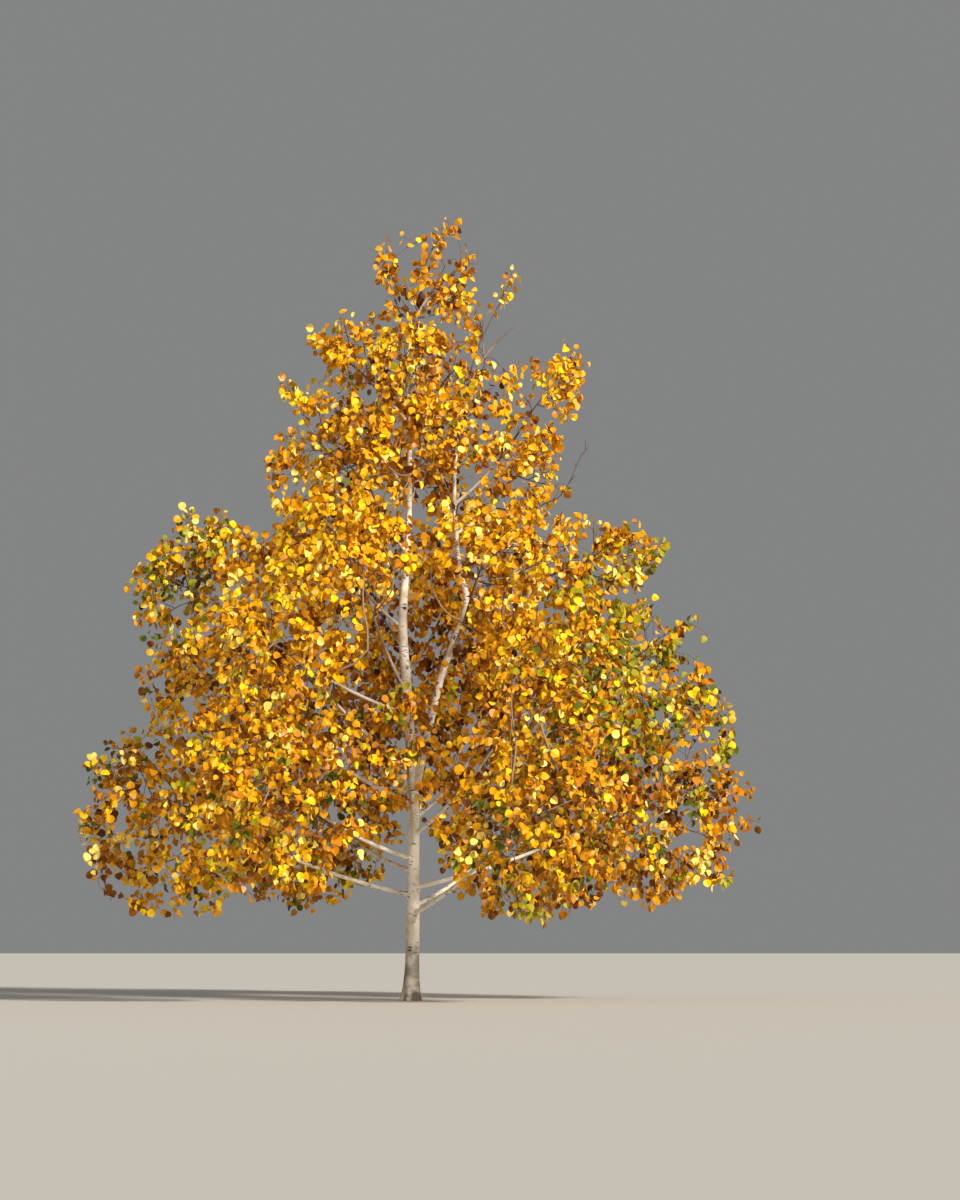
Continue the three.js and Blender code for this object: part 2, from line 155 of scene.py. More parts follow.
def on_bend(start: Array, bend: Array, end: Array, steps: int) -> Array:
    """Points along a simple bend, from start to end, drawn towards its bend point."""
    share = np.linspace(0, 1, steps + 1)[:, None]
    return (1 - share) ** 2 * start + 2 * share * (1 - share) * bend + share**2 * end


@dataclass
class Limb:
    """A limb as a line of points with a radius at each, in millimetres."""

    points: Array
    radii: Array
    seed: int = 0

    def ahead(self, i: int) -> Array:
        """The way that the line goes at its point i."""
        return unit(self.points[min(i + 1, len(self.points) - 1)] - self.points[max(i - 1, 0)])

    def ahead_at(self, share: float) -> Array:
        """The way that the line goes at the point nearest to a share of its run."""
        return self.ahead(math.floor(share * (len(self.points) - 1) + 0.5))

    def at_share(self, share: float) -> Array:
        """The place at a share of the line's points.

        Args:
            share: the share, from 0 at the foot to 1 at the tip.

        Returns:
            The place.
        """
        place = share * (len(self.points) - 1)
        i = min(math.floor(place), len(self.points) - 2)
        return self.points[i] + (self.points[i + 1] - self.points[i]) * (place - i)

    def at_height(self, height: float) -> Array:
        """The place where a rising line reaches a height.

        Args:
            height: the height in millimetres.

        Returns:
            The place, or the line's end where it doesn't reach so high.
        """
        above = int(np.argmax(self.points[:, 2] >= height))
        if above < 1:
            return self.points[-1].copy()
        low, high = self.points[above - 1], self.points[above]
        return low + (high - low) * (height - low[2]) / (high[2] - low[2])


def limb_through(knots: Sequence[Sequence[float]], steps: int, crowding: float = 1.0) -> Limb:
    """A limb whose line passes smoothly through knots.

    Args:
        knots: rows of height, right, back and radius, from the foot up.
        steps: how many lengths the line has.
        crowding: above 1, its points stand closer together towards the foot.

    Returns:
        The limb.
    """
    table = np.array([(right, back, height, radius) for height, right, back, radius in knots])
    places, girths = table[:, :3], table[:, 3]
    padded = np.vstack([2 * places[0] - places[1], places, 2 * places[-1] - places[-2]])
    points, radii = [], []
    for i in range(steps + 1):
        place = (i / steps) ** crowding * (len(knots) - 1)
        k = min(math.floor(place), len(knots) - 2)
        t = place - k
        before, low, high, after = padded[k : k + 4]
        leaving, arriving = (high - before) / 2, (after - low) / 2
        rise = 2 * low - 2 * high + leaving + arriving
        swing = -3 * low + 3 * high - 2 * leaving - arriving
        points.append(rise * t**3 + swing * t**2 + leaving * t + low)
        radii.append(mix(girths[k], girths[k + 1], t))
    return Limb(np.array(points), np.array(radii))


def bent_limb(start: Array, bend: Array, end: Array, base: float, tip: float, steps: int) -> Limb:
    """A limb along a simple bend, that tapers from a base radius to a tip radius."""
    return Limb(on_bend(start, bend, end, steps), np.linspace(base, tip, steps + 1))


class Surfaces:
    """The surfaces of a set of limbs, to measure how far points stand off them."""

    def __init__(self, limbs: Sequence[Limb]) -> None:
        """Takes the limbs apart into straight lengths.

        Args:
            limbs: the limbs.
        """
        self.starts = np.concatenate([limb.points[:-1] for limb in limbs])
        self.runs = np.concatenate([np.diff(limb.points, axis=0) for limb in limbs])
        self.radii = np.concatenate([limb.radii[:-1] for limb in limbs])
        self.swells = np.concatenate([np.diff(limb.radii) for limb in limbs])
        self.squares = (self.runs**2).sum(1)
        self.lines = (self.starts, self.starts + self.runs)

    def gaps(self, points: Array) -> Array:
        """How far points stand off the limbs.

        Args:
            points: the points, one in each row.

        Returns:
            The distance from each to the nearest surface, below 0 inside a limb.
        """
        offsets = points[:, None, :] - self.starts
        shares = np.clip((offsets * self.runs).sum(-1) / self.squares, 0, 1)
        away = np.linalg.norm(offsets - shares[..., None] * self.runs, axis=-1)
        return (away - self.radii - shares * self.swells).min(1)


# The plant by the source's rule


class Host(Enum):
    """The stems that carry the masses of foliage."""

    TRUNK = "trunk"
    SECOND_STEM = "second_stem"


# Centrelines of the two stems: height, right, back, radius
TRUNK_KNOTS = (
    (0, 0, 0, 36),
    (500, 8, -6, 31),
    (1000, 6, -10, 27.5),
    (1500, -22, -4, 24),
    (1900, -48, 4, 22.5),
    (2300, -22, 8, 14.5),
    (2800, -16, 0, 11.5),
    (3120, -42, -6, 9.5),
    (3380, 2, 2, 7),
)
SECOND_STEM_KNOTS = (
    (960, 6, -10, 20),
    (1200, 52, -32, 19),
    (1620, 150, -60, 17.5),
    (1960, 268, -76, 15.5),
    (2160, 236, -80, 11.5),
    (2500, 212, -68, 9.5),
    (2800, 228, -52, 7.5),
    (3075, 290, -40, 6),
)
TRUNK_STEPS = 20
TRUNK_CROWDING = 1.5
STEM_STEPS = 14
BOUGH_STEPS = 4
MASS_STEM_STEPS = 3


@dataclass(frozen=True)
class Tier:
    """A storey of the crown: what its masses have in common, and a row for each of them.

    A bough radius of 0 means that the masses' stems leave the host itself, and None that they go on from its
    tip. A row gives a mass's place, its host, the height where it leaves it, and its space: the azimuth of
    the middle (0 is right, 90 is away), how far out and how high it lies, and its reach.
    """

    name: str
    bough: float | None
    spray: float
    twigs: int
    spread: float
    masses: tuple[tuple[str, Host, float, float, float, float, float], ...]


TRUNK, SECOND = Host.TRUNK, Host.SECOND_STEM
TIERS = (
    Tier("skirt", 12, 330, 8, 60, (
        ("right", TRUNK, 560, 0, 1200, 960, 540),
        ("back_right", TRUNK, 470, 60, 1180, 900, 540),
        ("back_left", TRUNK, 640, 120, 1180, 980, 540),
        ("left", TRUNK, 520, 180, 1180, 930, 530),
        ("front_left", TRUNK, 700, 236, 1130, 990, 520),
        ("front_right", TRUNK, 430, 302, 1150, 900, 520),
    )),
    Tier("lower", 11, 314, 8, 58, (
        ("right", SECOND, 1240, 6, 1080, 1660, 480),
        ("back_right", TRUNK, 900, 54, 980, 1640, 450),
        ("back_left", TRUNK, 1080, 120, 960, 1700, 450),
        ("left", TRUNK, 980, 178, 960, 1600, 440),
        ("front_left", TRUNK, 1160, 230, 960, 1690, 450),
        ("front_right", TRUNK, 820, 314, 1020, 1620, 450),
    )),
    Tier("wing", 9, 258, 8, 50, (("left", TRUNK, 1420, 171, 1160, 2080, 330),)),
    Tier("middle", 8.5, 292, 8, 52, (
        ("right", SECOND, 1985, 2, 900, 2190, 360),
        ("back_right", TRUNK, 1620, 62, 600, 2260, 390),
        ("back_left", TRUNK, 1760, 124, 590, 2300, 390),
        ("left", TRUNK, 1860, 184, 470, 2310, 350),
        ("front_left", TRUNK, 1540, 238, 600, 2230, 390),
        ("front_right", SECOND, 1700, 308, 620, 2200, 380),
    )),
    Tier("upper", 8, 264, 9, 48, (
        ("left", TRUNK, 2240, 178, 340, 2790, 350),
        ("right", SECOND, 2330, 2, 600, 2690, 300),
        ("right_tuft", SECOND, 2480, 356, 710, 3080, 220),
    )),
    Tier("core", 0, 264, 8, 50, (
        ("upper_back", TRUNK, 2420, 84, 300, 2800, 340),
        ("upper_front_left", TRUNK, 2520, 236, 290, 2740, 320),
        ("upper_front_right", TRUNK, 2600, 296, 280, 2830, 310),
        ("lower_front", TRUNK, 760, 268, 440, 1230, 330),
        ("lower_back", TRUNK, 860, 92, 470, 1330, 350),
    )),
    Tier("high", 0, 226, 9, 42, (
        ("left", TRUNK, 2900, 176, 290, 3230, 300),
        ("back", TRUNK, 3000, 82, 210, 3290, 280),
        ("front", TRUNK, 2860, 262, 220, 3190, 280),
        ("right", TRUNK, 2800, 350, 150, 3170, 260),
    )),
    Tier("top", None, 209, 10, 38, (
        ("of_second_stem", SECOND, 3075, 355, 425, 3350, 290),
        ("of_trunk", TRUNK, 3380, 3, 105, 3640, 325),
    )),
)


@dataclass
class Spray:
    """The place of one spray: a plate from its root on a twig to its tip, in millimetres."""

    root: Array
    along: Array
    wide: Array
    length: float
    carrier: Limb | None = None

    HALF_WIDTH = 0.45
    MIDDLE = 0.36

    def rim(self) -> Array:
        """The plate's four corners: root, left, tip and right.

        Returns:
            The corners, one in each row.
        """
        shoulder = self.root + self.along * (self.MIDDLE * self.length)
        half = self.wide * (self.HALF_WIDTH * self.length)
        return np.array([self.root, shoulder - half, self.root + self.along * self.length, shoulder + half])

    def probes(self) -> Array:
        """Points all over the plate.

        Returns:
            The points, one in each row.
        """
        root, left, tip, right = self.rim()
        middle = (left + right) / 2
        points = []
        for share in (0, 0.25, 0.5, 0.75, 1):
            for shoulder in (left, right):
                rib = middle + (shoulder - middle) * share
                points += [rib, rib + (tip - rib) * 0.33, rib + (tip - rib) * 0.66, (rib + root) / 2]
        return np.array(points)


def pierced(starts: Array, ends: Array, rims: Array) -> bool:
    """Whether any of some lines passes through any of some sprays' plates.

    Args:
        starts: the lines' first points, one in each row.
        ends: their last points.
        rims: the plates' corners, four for each plate.

    Returns:
        Whether there is such a crossing.
    """
    if not len(starts) or not len(rims):
        return False
    corners = np.concatenate([rims[:, [0, 1, 3]], rims[:, [2, 1, 3]]])
    first, second = corners[:, 1] - corners[:, 0], corners[:, 2] - corners[:, 0]
    normals = np.cross(first, second)
    runs = (ends - starts)[:, None, :]
    offsets = starts[:, None, :] - corners[:, 0]
    facing = (runs * normals).sum(-1)
    sign, depth = np.sign(facing), np.abs(facing)
    u = sign * (runs * np.cross(offsets, second)).sum(-1)
    v = sign * (runs * np.cross(first, offsets)).sum(-1)
    t = -sign * (offsets * normals).sum(-1)
    return bool(((depth > 0) & (u >= 0) & (v >= 0) & (u + v <= depth) & (t >= 0) & (t < depth)).any())


@dataclass
class Mass:
    """A mass of foliage: the space that it keeps to, and what grows in it."""

    name: str
    host: Host
    leaves: float
    middle: Array
    reach: float
    tier: Tier
    spray: float
    seed: int
    bough: Limb | None = None
    stem: Limb | None = None
    directions: Array | None = None
    distances: Array | None = None
    twigs: list[Limb] = field(default_factory=list)
    sprays: list[Spray] = field(default_factory=list)

    WALL_ROOM = 5
    LIMB_ROOM = 18
    TWIG_RADIUS = 4
    TWIG_TIP_SHARE = 0.72
    TWIG_PLACES = (0.05, 0.95)
    TWIG_STRAY = 0.6
    TWIG_TURN = 20
    TWIG_SPREADS = (1.5, 0.8)
    TWIG_LEAN = 8
    TWIG_LENGTHS = (0.7, 0.5)
    TWIG_GROWTH = (0.85, 1.1)
    TWIG_CUTS = 8
    TWIG_SAMPLES = 13
    TWIG_SEEDS = 1000
    SPRAY_AHEAD = 0.85
    STEM_SPRAYS = (0.4, 0.7, 1)
    TWIG_SPRAYS = ((1,), (0.5, 1))
    SPRAY_SUNK = 0.2
    SPRAY_TIP_LEANS = (0, 25)
    SPRAY_SIDE_LEANS = (42, 62)
    SPRAY_TURN = 60
    SPRAY_ROLL = 42
    SPRAY_GROWTH = (0.88, 1.1)
    SPRAY_SHORTENED = 0.035
    SPRAY_TRIES = 12

    def set_walls(self, masses: "Sequence[Mass]") -> None:
        """Cuts the mass's ball off flat where the balls of its neighbours begin.

        Args:
            masses: all masses, itself too.
        """
        others = [other for other in masses if other is not self]
        apart = np.array([other.middle for other in others]) - self.middle
        reaches = np.array([other.reach for other in others])
        lengths = np.linalg.norm(apart, axis=1)
        self.directions = unit(apart)
        self.distances = (lengths**2 + self.reach**2 - reaches**2) / (2 * lengths)

    def holds(self, points: Array, room: float, beyond: float = 0) -> Array:
        """Which points lie in the mass's space.

        Args:
            points: the points, one in each row.
            room: how far inside the walls they have to be.
            beyond: how far past its reach they may be.

        Returns:
            True or False for each point.
        """
        offsets = points - self.middle
        near = np.linalg.norm(offsets, axis=1) <= self.reach + beyond
        return near & (offsets @ self.directions.T < self.distances - room).all(1)

    def fitted_twig(
        self, start: Array, direction: Array, length: float, radius: float, limbs: Surfaces
    ) -> Limb | None:
        """Cuts a twig back until it and a spray beyond it stay in the mass's space and off the limbs.

        Args:
            start: the twig's foot.
            direction: the way that it goes.
            length: its length before it is cut back.
            radius: its radius at the foot.
            limbs: the limbs that it keeps off.

        Returns:
            The twig, or None where none fits.
        """
        for i in range(self.TWIG_CUTS):
            end = start + direction * length * (1 - i / (self.TWIG_CUTS + 1))
            line = np.array([start, end])
            beyond = end + direction * self.SPRAY_AHEAD * self.spray
            inside = self.holds(line, self.WALL_ROOM + radius).all()
            inside &= self.holds(beyond[None], self.WALL_ROOM).all()
            samples = start + (end - start) * np.linspace(0, 1, self.TWIG_SAMPLES)[:, None]
            if inside and (limbs.gaps(samples) > self.LIMB_ROOM).all():
                return Limb(line, np.array([radius, radius * self.TWIG_TIP_SHARE]))
        return None

    def fitted_spray(
        self, twig: Limb, place: int, share: float, lines: Array, rims: Array, limbs: Surfaces
    ) -> Spray | None:
        """Turns and shortens the spray at one place on a twig until it fits and crosses nothing.

        Args:
            twig: the twig or stem's end that carries it.
            place: the place's number on the twig.
            share: the place's share of the twig's run.
            lines: the first and the last points of the lengths of wood near it.
            rims: the corners of the sprays that stand already, four for each.
            limbs: the limbs that it keeps off.

        Returns:
            The spray, or None where none fits.
        """
        random = SeededRandom(self.seed + twig.seed + place)
        ahead, on_twig = twig.ahead_at(share), twig.at_share(share)
        sunk = 0 if share == 1 else mix(twig.radii[0], twig.radii[-1], share) * self.SPRAY_SUNK
        for i in range(self.SPRAY_TRIES):
            lean = random.between(*(self.SPRAY_TIP_LEANS if share == 1 else self.SPRAY_SIDE_LEANS))
            turn = (180 if place % 2 else 0) + random.between(-self.SPRAY_TURN, self.SPRAY_TURN)
            along = leant(ahead, lean, turn)
            wide = leant(along, 90, 90 + random.between(-self.SPRAY_ROLL, self.SPRAY_ROLL))
            length = self.spray * random.between(*self.SPRAY_GROWTH) * (1 - self.SPRAY_SHORTENED * i)
            spray = Spray(on_twig - along * sunk, along, wide, length)
            rim = spray.rim()
            if not self.holds(rim, self.WALL_ROOM).all():
                continue
            ends = np.roll(rim, -1, axis=0)
            others = (rims.reshape(-1, 3), np.roll(rims, -1, axis=1).reshape(-1, 3))
            crossing = pierced(rim, ends, rims) or pierced(*others, rim[None]) or pierced(*lines, rim[None])
            if not crossing and (limbs.gaps(spray.probes()) > self.LIMB_ROOM).all():
                return spray
        return None

    def grow(self, limbs: Surfaces) -> None:
        """Grows the twigs that wind round the stem, and the sprays on them and on the stem's end.

        Args:
            limbs: the surfaces of every limb that isn't the mass's own stem.
        """
        count, radii = self.tier.twigs, self.stem.radii
        for i in range(count):
            random = SeededRandom(self.seed + i)
            share = mix(*self.TWIG_PLACES, (i + self.TWIG_STRAY * random.next()) / count)
            ahead = self.stem.ahead_at(share)
            turn = i * GOLDEN_ANGLE + random.between(-self.TWIG_TURN, self.TWIG_TURN)
            spread = self.tier.spread * mix(*self.TWIG_SPREADS, share)
            direction = leant(ahead, spread + random.between(-self.TWIG_LEAN, self.TWIG_LEAN), turn)
            length = self.reach * mix(*self.TWIG_LENGTHS, share) * random.between(*self.TWIG_GROWTH)
            radius = min(self.TWIG_RADIUS, mix(radii[0], radii[-1], share))
            twig = self.fitted_twig(self.stem.at_share(share), direction, length, radius, limbs)
            if twig:
                twig.seed = self.TWIG_SEEDS * (i + 2)
                self.twigs.append(twig)
        stem_end = Limb(self.stem.points[-2:], self.stem.radii[-2:], self.TWIG_SEEDS)
        for i, carrier in enumerate([stem_end, *self.twigs]):
            others = [twig for twig in self.twigs if twig is not carrier]
            if i > 0:
                others.insert(0, self.stem)
            lines = (
                np.concatenate([limbs.lines[0], *(other.points[:-1] for other in others)]),
                np.concatenate([limbs.lines[1], *(other.points[1:] for other in others)]),
            )
            for place, share in enumerate(self.STEM_SPRAYS if i == 0 else self.TWIG_SPRAYS[(i + 1) % 2]):
                rims = np.array([spray.rim() for spray in self.sprays]).reshape(-1, 4, 3)
                spray = self.fitted_spray(carrier, place, share, lines, rims, limbs)
                if spray:
                    spray.carrier = carrier
                    self.sprays.append(spray)


class Plant:
    """The limbs of the plant and its masses of foliage, as the part's source works them out."""

    BOUGH_TIP_SHARE = 0.55
    FIRST_CLIMB = 0.3
    ENTRY_SHARE = 0.72
    JOINT_GAP = 0.3
    MASS_STEM_RADIUS = 8
    MASS_STEM_TIP_RADIUS = 6
    STEM_AWAY = 0.35
    STEM_ABOVE = 0.15
    STEM_BEND = 0.45
    SPRAY_REACH = 0.75
    MASS_SEEDS = 10_000

    def __init__(self) -> None:
        """Grows the stems, the masses' spaces, the boughs, and what the masses hold."""
        self.stems = {
            Host.TRUNK: limb_through(TRUNK_KNOTS, TRUNK_STEPS, TRUNK_CROWDING),
            Host.SECOND_STEM: limb_through(SECOND_STEM_KNOTS, STEM_STEPS),
        }
        self.masses: list[Mass] = []
        for tier in TIERS:
            for place, host, leaves, azimuth, out, height, reach in tier.masses:
                turn = math.radians(azimuth)
                middle = np.array([out * math.cos(turn), out * math.sin(turn), height])
                spray = min(tier.spray, reach * self.SPRAY_REACH)
                seed = self.MASS_SEEDS * (len(self.masses) + 1)
                name = f"{tier.name}_{place}"
                self.masses.append(Mass(name, host, leaves, middle, reach, tier, spray, seed))
        for mass in self.masses:
            mass.set_walls(self.masses)
            self.carry(mass)
        self.limbs = [*self.stems.values(), *(mass.bough for mass in self.masses if mass.bough)]
        for mass in self.masses:
            stems = [other.stem for other in self.masses if other is not mass]
            mass.grow(Surfaces([*self.limbs, *stems]))
        self.surfaces = Surfaces([*self.limbs, *(mass.stem for mass in self.masses)])

    def carry(self, mass: Mass) -> None:
        """Gives a mass its bough, where it has one, and the stem that goes on from it.

        Args:
            mass: the mass.
        """
        host = self.stems[mass.host]
        foot = host.at_height(mass.leaves)
        if mass.tier.bough:
            tip = mass.middle + unit(foot - mass.middle) * mass.reach * self.ENTRY_SHARE
            bend = (foot + tip) / 2
            bend[2] = mix(foot[2], tip[2], self.FIRST_CLIMB)
            base = mass.tier.bough
            mass.bough = bent_limb(foot, bend, tip, base, base * self.BOUGH_TIP_SHARE, BOUGH_STEPS)
            host = mass.bough
        from_tip = mass.tier.bough != 0
        ahead = host.ahead(len(host.points) - 1) if from_tip else unit(mass.middle - foot)
        start = host.points[-1] + ahead * self.JOINT_GAP if from_tip else foot
        away = unit(ahead * np.array([1, 1, 0]))
        end = mass.middle + away * mass.reach * self.STEM_AWAY + UP * mass.reach * self.STEM_ABOVE
        bend = start + ahead * np.linalg.norm(end - start) * self.STEM_BEND
        radius = host.radii[-1] if from_tip else self.MASS_STEM_RADIUS
        tip_radius = min(radius, self.MASS_STEM_TIP_RADIUS)
        mass.stem = bent_limb(start, bend, end, radius, tip_radius, MASS_STEM_STEPS)


# Shoots and leaves


@dataclass(frozen=True)
class LeafFinish:
    """An autumn leaf's two sides: a waxy face and a duller underside, paler on the green, pale, copper and
    rust leaves, and on the yellow to amber ones a deeper amber than the face: painted shade and painted light
    shining through the blade.

    A poplar leaf is thin and leathery under a wax film, which gives the eye a soft, patchy gloss over an even
    colour. Its veins stand out in a mesh about 4 mm wide.
    """

    label: str
    face: str
    underside: str
    face_roughness: float = 0.4
    underside_roughness: float = 0.62
    face_gloss: float = 0.28
    underside_gloss: float = 0.2

    def materials(self) -> tuple[Material, Material]:
        """The materials of the face and of the underside.

        Returns:
            The two materials.
        """
        face = grained(f"{self.label}_leaf_face", self.face, self.face_gloss, self.face_roughness, LEAF_VEINS)
        name = f"{self.label}_leaf_underside"
        return face, grained(name, self.underside, self.underside_gloss, self.underside_roughness, LEAF_VEINS)


class Tint(Enum):
    """The autumn colours of the leaves, as the season turns them from green through gold to rust; the pale
    cream is partly a painted highlight of sunlit leaves.
    """

    # The second colour is the underside's; from yellow to amber it is deeper than the face, as painted shade
    # and painted light through the blade
    YELLOW = LeafFinish("yellow", "#FCD010", "#E6B830")
    GOLDEN = LeafFinish("golden", "#F2B004", "#D89C1C")
    DEEP_GOLD = LeafFinish("deep_gold", "#E29C02", "#C48A12")
    AMBER = LeafFinish("amber", "#C07A02", "#A8700E")
    # Partly a real pale yellow, partly a painted highlight that stands in for sun on the leaves
    PALE_HIGHLIGHT = LeafFinish("pale", "#FCDE6A", "#F2D684")
    COPPER = LeafFinish("copper", "#8C5204", "#885C14", 0.5)
    RUST = LeafFinish("rust", "#5A300A", "#6C441C", 0.58)
    LIME = LeafFinish("lime", "#A09A14", "#A4A440")
    OLIVE = LeafFinish("olive", "#5C6614", "#767E34")


class Leaf(NamedTuple):
    """A leaf: its stalk's foot, its base, its lie, its size, its bends, its colour and a draw of its own."""

    foot: Array
    base: Array
    blade: Array
    normal: Array
    size: float
    bends: Triple
    tint: Tint
    draw: float


def blade_points(leaves: Sequence[Leaf], share: float) -> Array:
    """The place at a share of each leaf's blade, from its stalk to its tip."""
    return np.array([leaf.base + leaf.blade * leaf.size * share for leaf in leaves])


@dataclass
class Shoot:
    """A thin shoot of this year's wood, the share of it where its leaves begin, and how they are coloured."""

    line: Limb
    first: float
    tint: Tint
    crowd: dict[Tint, float]
    seed: int


@dataclass(frozen=True)
class Opening:
    """A place where the crown is open: its middle, half its width and height, and the leaves it keeps.

    A deep one lets the sky through the whole crown, and the others show the limbs on the viewer's side only.
    """

    x: float
    z: float
    half_width: float
    half_height: float
    kept: float
    deep: bool = False

    VIEWER_SIDE = 20
    RIM = (0.45, 1.15)

    def leafy(self, place: Array) -> float:
        """The share of leaves that stays at a place, all of them from the opening's rim outwards.

        Args:
            place: the place.

        Returns:
            The share, from 0 to 1.
        """
        if not self.deep and place[1] > self.VIEWER_SIDE:
            return 1.0
        off = ((place[0] - self.x) / self.half_width) ** 2 + ((place[2] - self.z) / self.half_height) ** 2
        return mix(self.kept, 1.0, ramp(off, *self.RIM))


@dataclass(frozen=True)
class Between:
    """A stretch of the crown between the spaces of its masses, that shoots of the nearest wood reach into."""

    middle: Triple
    reaches: Triple
    gap: float = 105


@dataclass(frozen=True)
class LongShoot:
    """A shoot that stands out of the crown, through knots of right, back and height."""

    knots: tuple[Triple, ...]
    first: float
    spurs: int
    bare: bool = False


@dataclass(frozen=True)
class Branchlet:
    """A thin branch that shows on the crown's near side, through knots of right and height."""

    knots: tuple[Pair, ...]
    radius: float = 5


@dataclass(frozen=True)
class Spurs:
    """Short side shoots of a longer one: where they leave it, how they lie, their lengths and their growth.

    Growth is what their length is multiplied by at the foot and at the tip of the longer shoot.
    """

    places: Pair
    leans: Pair
    lengths: Pair
    growth: Pair
    reach: float
    rise: float
    radius: float
    tip_lean: float | None = None


LONG_SHOOT_SPURS = Spurs((0.35, 0.96), (35, 60), (40, 95), (1.2, 0.7), 0.8, 0.25, 2.0)
BRANCHLET_SPURS = Spurs((0.35, 1), (30, 55), (90, 170), (1, 1), 0.85, 0.2, 2.2, tip_lean=5)
# Where the limbs show on the viewer's side: right, height, half a width, half a height, leaves kept
LIMB_VIEWS = (
    (-42, 1850, 56, 330, 0.12),
    (160, 1660, 62, 170, 0.2),
    (235, 1880, 58, 170, 0.2),
    (228, 2190, 42, 180, 0.2),
    (350, 2035, 110, 42, 0.25),
    (-20, 2600, 42, 300, 0.5),
    (222, 2480, 48, 250, 0.5),
)
# Where the sky shows through the whole crown, in the same columns
SKY_VIEWS = (
    (545, 3440, 235, 255, 0.03),
    (420, 3260, 110, 130, 0.2),
    (190, 3210, 52, 120, 0.2),
    (930, 3060, 85, 240, 0.1),
    (930, 2520, 190, 130, 0.04),
    (865, 2740, 125, 250, 0.06),
    (765, 2560, 75, 100, 0.15),
    (885, 2335, 80, 70, 0.15),
    (1110, 2420, 190, 75, 0.25),
    (1390, 1240, 110, 80, 0.1),
    (1310, 1970, 110, 100, 0.12),
    (1430, 1790, 90, 110, 0.3),
    (1180, 1850, 90, 70, 0.35),
    (60, 3960, 480, 330, 0.25),
    (-15, 3750, 75, 130, 0.15),
    (370, 3690, 100, 170, 0.12),
    (-330, 3620, 130, 120, 0.1),
    (-520, 3160, 80, 150, 0.2),
    (-525, 2880, 85, 190, 0.35),
    (-740, 2430, 75, 120, 0.15),
    (565, 3500, 60, 80, 0.0),
    (525, 3395, 55, 75, 0.0),
)
OPENINGS = (*(Opening(*row) for row in LIMB_VIEWS), *(Opening(*row, deep=True) for row in SKY_VIEWS))
BETWEENS = (
    Between((120, 190, 1800), (360, 260, 430), 82),
    Between((60, -160, 1500), (300, 150, 190), 140),
    Between((-760, -20, 2180), (210, 260, 170), 90),
    Between((-980, 60, 2280), (230, 200, 120), 90),
    Between((1480, 0, 1450), (150, 280, 220), 95),
    Between((1130, -150, 1290), (220, 260, 150), 90),
    Between((-675, 0, 2680), (75, 160, 130), 75),
    Between((450, 0, 2990), (90, 160, 160), 90),
    Between((460, -40, 2800), (90, 160, 120), 90),
    Between((640, 0, 2970), (100, 160, 110), 85),
    Between((790, -40, 2420), (90, 140, 100), 90),
    Between((-700, 250, 1250), (260, 300, 130)),
    Between((500, 500, 1250), (300, 300, 130)),
    Between((420, -240, 1680), (230, 230, 360), 110),
    Between((430, -250, 1180), (210, 210, 200), 120),
)
# The bare twig that stands out on the right
BARE_TWIG = (
    (560, -60, 2440),
    (675, -70, 2485),
    (735, -80, 2510),
    (785, -80, 2580),
    (845, -80, 2715),
    (890, -80, 2775),
)
HIGH_SHOOT = ((285, -40, 3120), (330, -60, 3270), (400, -70, 3420), (470, -70, 3560), (505, -70, 3660))
LONG_SHOOTS = (
    LongShoot(((40, -20, 3600), (70, -30, 3720), (120, -30, 3820), (190, -30, 3925)), 0.25, 4),
    LongShoot(((-60, -30, 3450), (-110, -40, 3590), (-135, -50, 3700), (-130, -40, 3800)), 0.35, 3),
    LongShoot(((195, -40, 3510), (230, -50, 3620), (290, -50, 3715)), 0.4, 3),
    LongShoot(HIGH_SHOOT, 0.62, 2),
    LongShoot(((-480, -60, 2960), (-570, -80, 3010), (-625, -80, 3085)), 0.3, 4),
    LongShoot(((-1080, 100, 2260), (-1130, 90, 2370), (-1150, 80, 2475)), 0.2, 4),
    LongShoot(((-960, 80, 2200), (-990, 60, 2330), (-985, 50, 2440)), 0.2, 4),
    LongShoot(((-820, 20, 2180), (-870, 20, 2260), (-890, 10, 2340)), 0.15, 4),
    LongShoot(((1080, -60, 2080), (1180, -70, 2190), (1250, -70, 2290)), 0.2, 4),
    LongShoot(((760, -60, 3080), (795, -60, 3180), (815, -60, 3250)), 0.3, 3),
    LongShoot(BARE_TWIG, 1, 9, bare=True),
    LongShoot(((700, -90, 2240), (790, -100, 2270), (835, -100, 2300), (875, -100, 2368)), 1, 4, bare=True),
)
# Branchlets where the camera sees them, on the upright plane through the trunk's foot
BRANCHLETS = (
    Branchlet(((-235, 1725), (-250, 1990), (-245, 2140), (-285, 2200), (-385, 2335), (-450, 2415)), 6.5),
    Branchlet(((-250, 1975), (-400, 2050), (-550, 2110))),
    Branchlet(((-300, 2660), (-345, 2710), (-445, 2765), (-545, 2920), (-600, 3015))),
    Branchlet(((-25, 2595), (-80, 2640), (-180, 2735), (-255, 2820))),
    Branchlet(((-110, 2035), (-95, 2135), (-135, 2245), (-190, 2380)), 4),
    Branchlet(((175, 1935), (100, 2065), (90, 2190), (30, 2275))),
    Branchlet(((160, 2595), (100, 2695), (60, 2780), (50, 2900)), 4),
    Branchlet(((230, 2485), (315, 2525), (410, 2580), (455, 2650), (540, 2735))),
    Branchlet(((315, 2075), (425, 2105), (540, 2135), (595, 2175), (720, 2230))),
    Branchlet(((495, 2125), (595, 2275), (680, 2315)), 4),
    Branchlet(((640, 1390), (690, 1470), (740, 1550), (840, 1665)), 6),
    Branchlet(((650, 1400), (800, 1520), (1025, 1620)), 6),
    Branchlet(((670, 1320), (840, 1365), (1025, 1460)), 6),
    Branchlet(((520, 1275), (500, 1425), (505, 1575), (560, 1680)), 6),
    Branchlet(((495, 1400), (440, 1550), (415, 1665))),
    Branchlet(((1230, 1140), (1290, 1285), (1390, 1335), (1450, 1365)), 6),
    Branchlet(((1185, 875), (1300, 965), (1425, 1090), (1505, 1220)), 6),
)
# The camera's place in millimetres
VIEW_POINT = (340.0, -17000.0, 300.0)
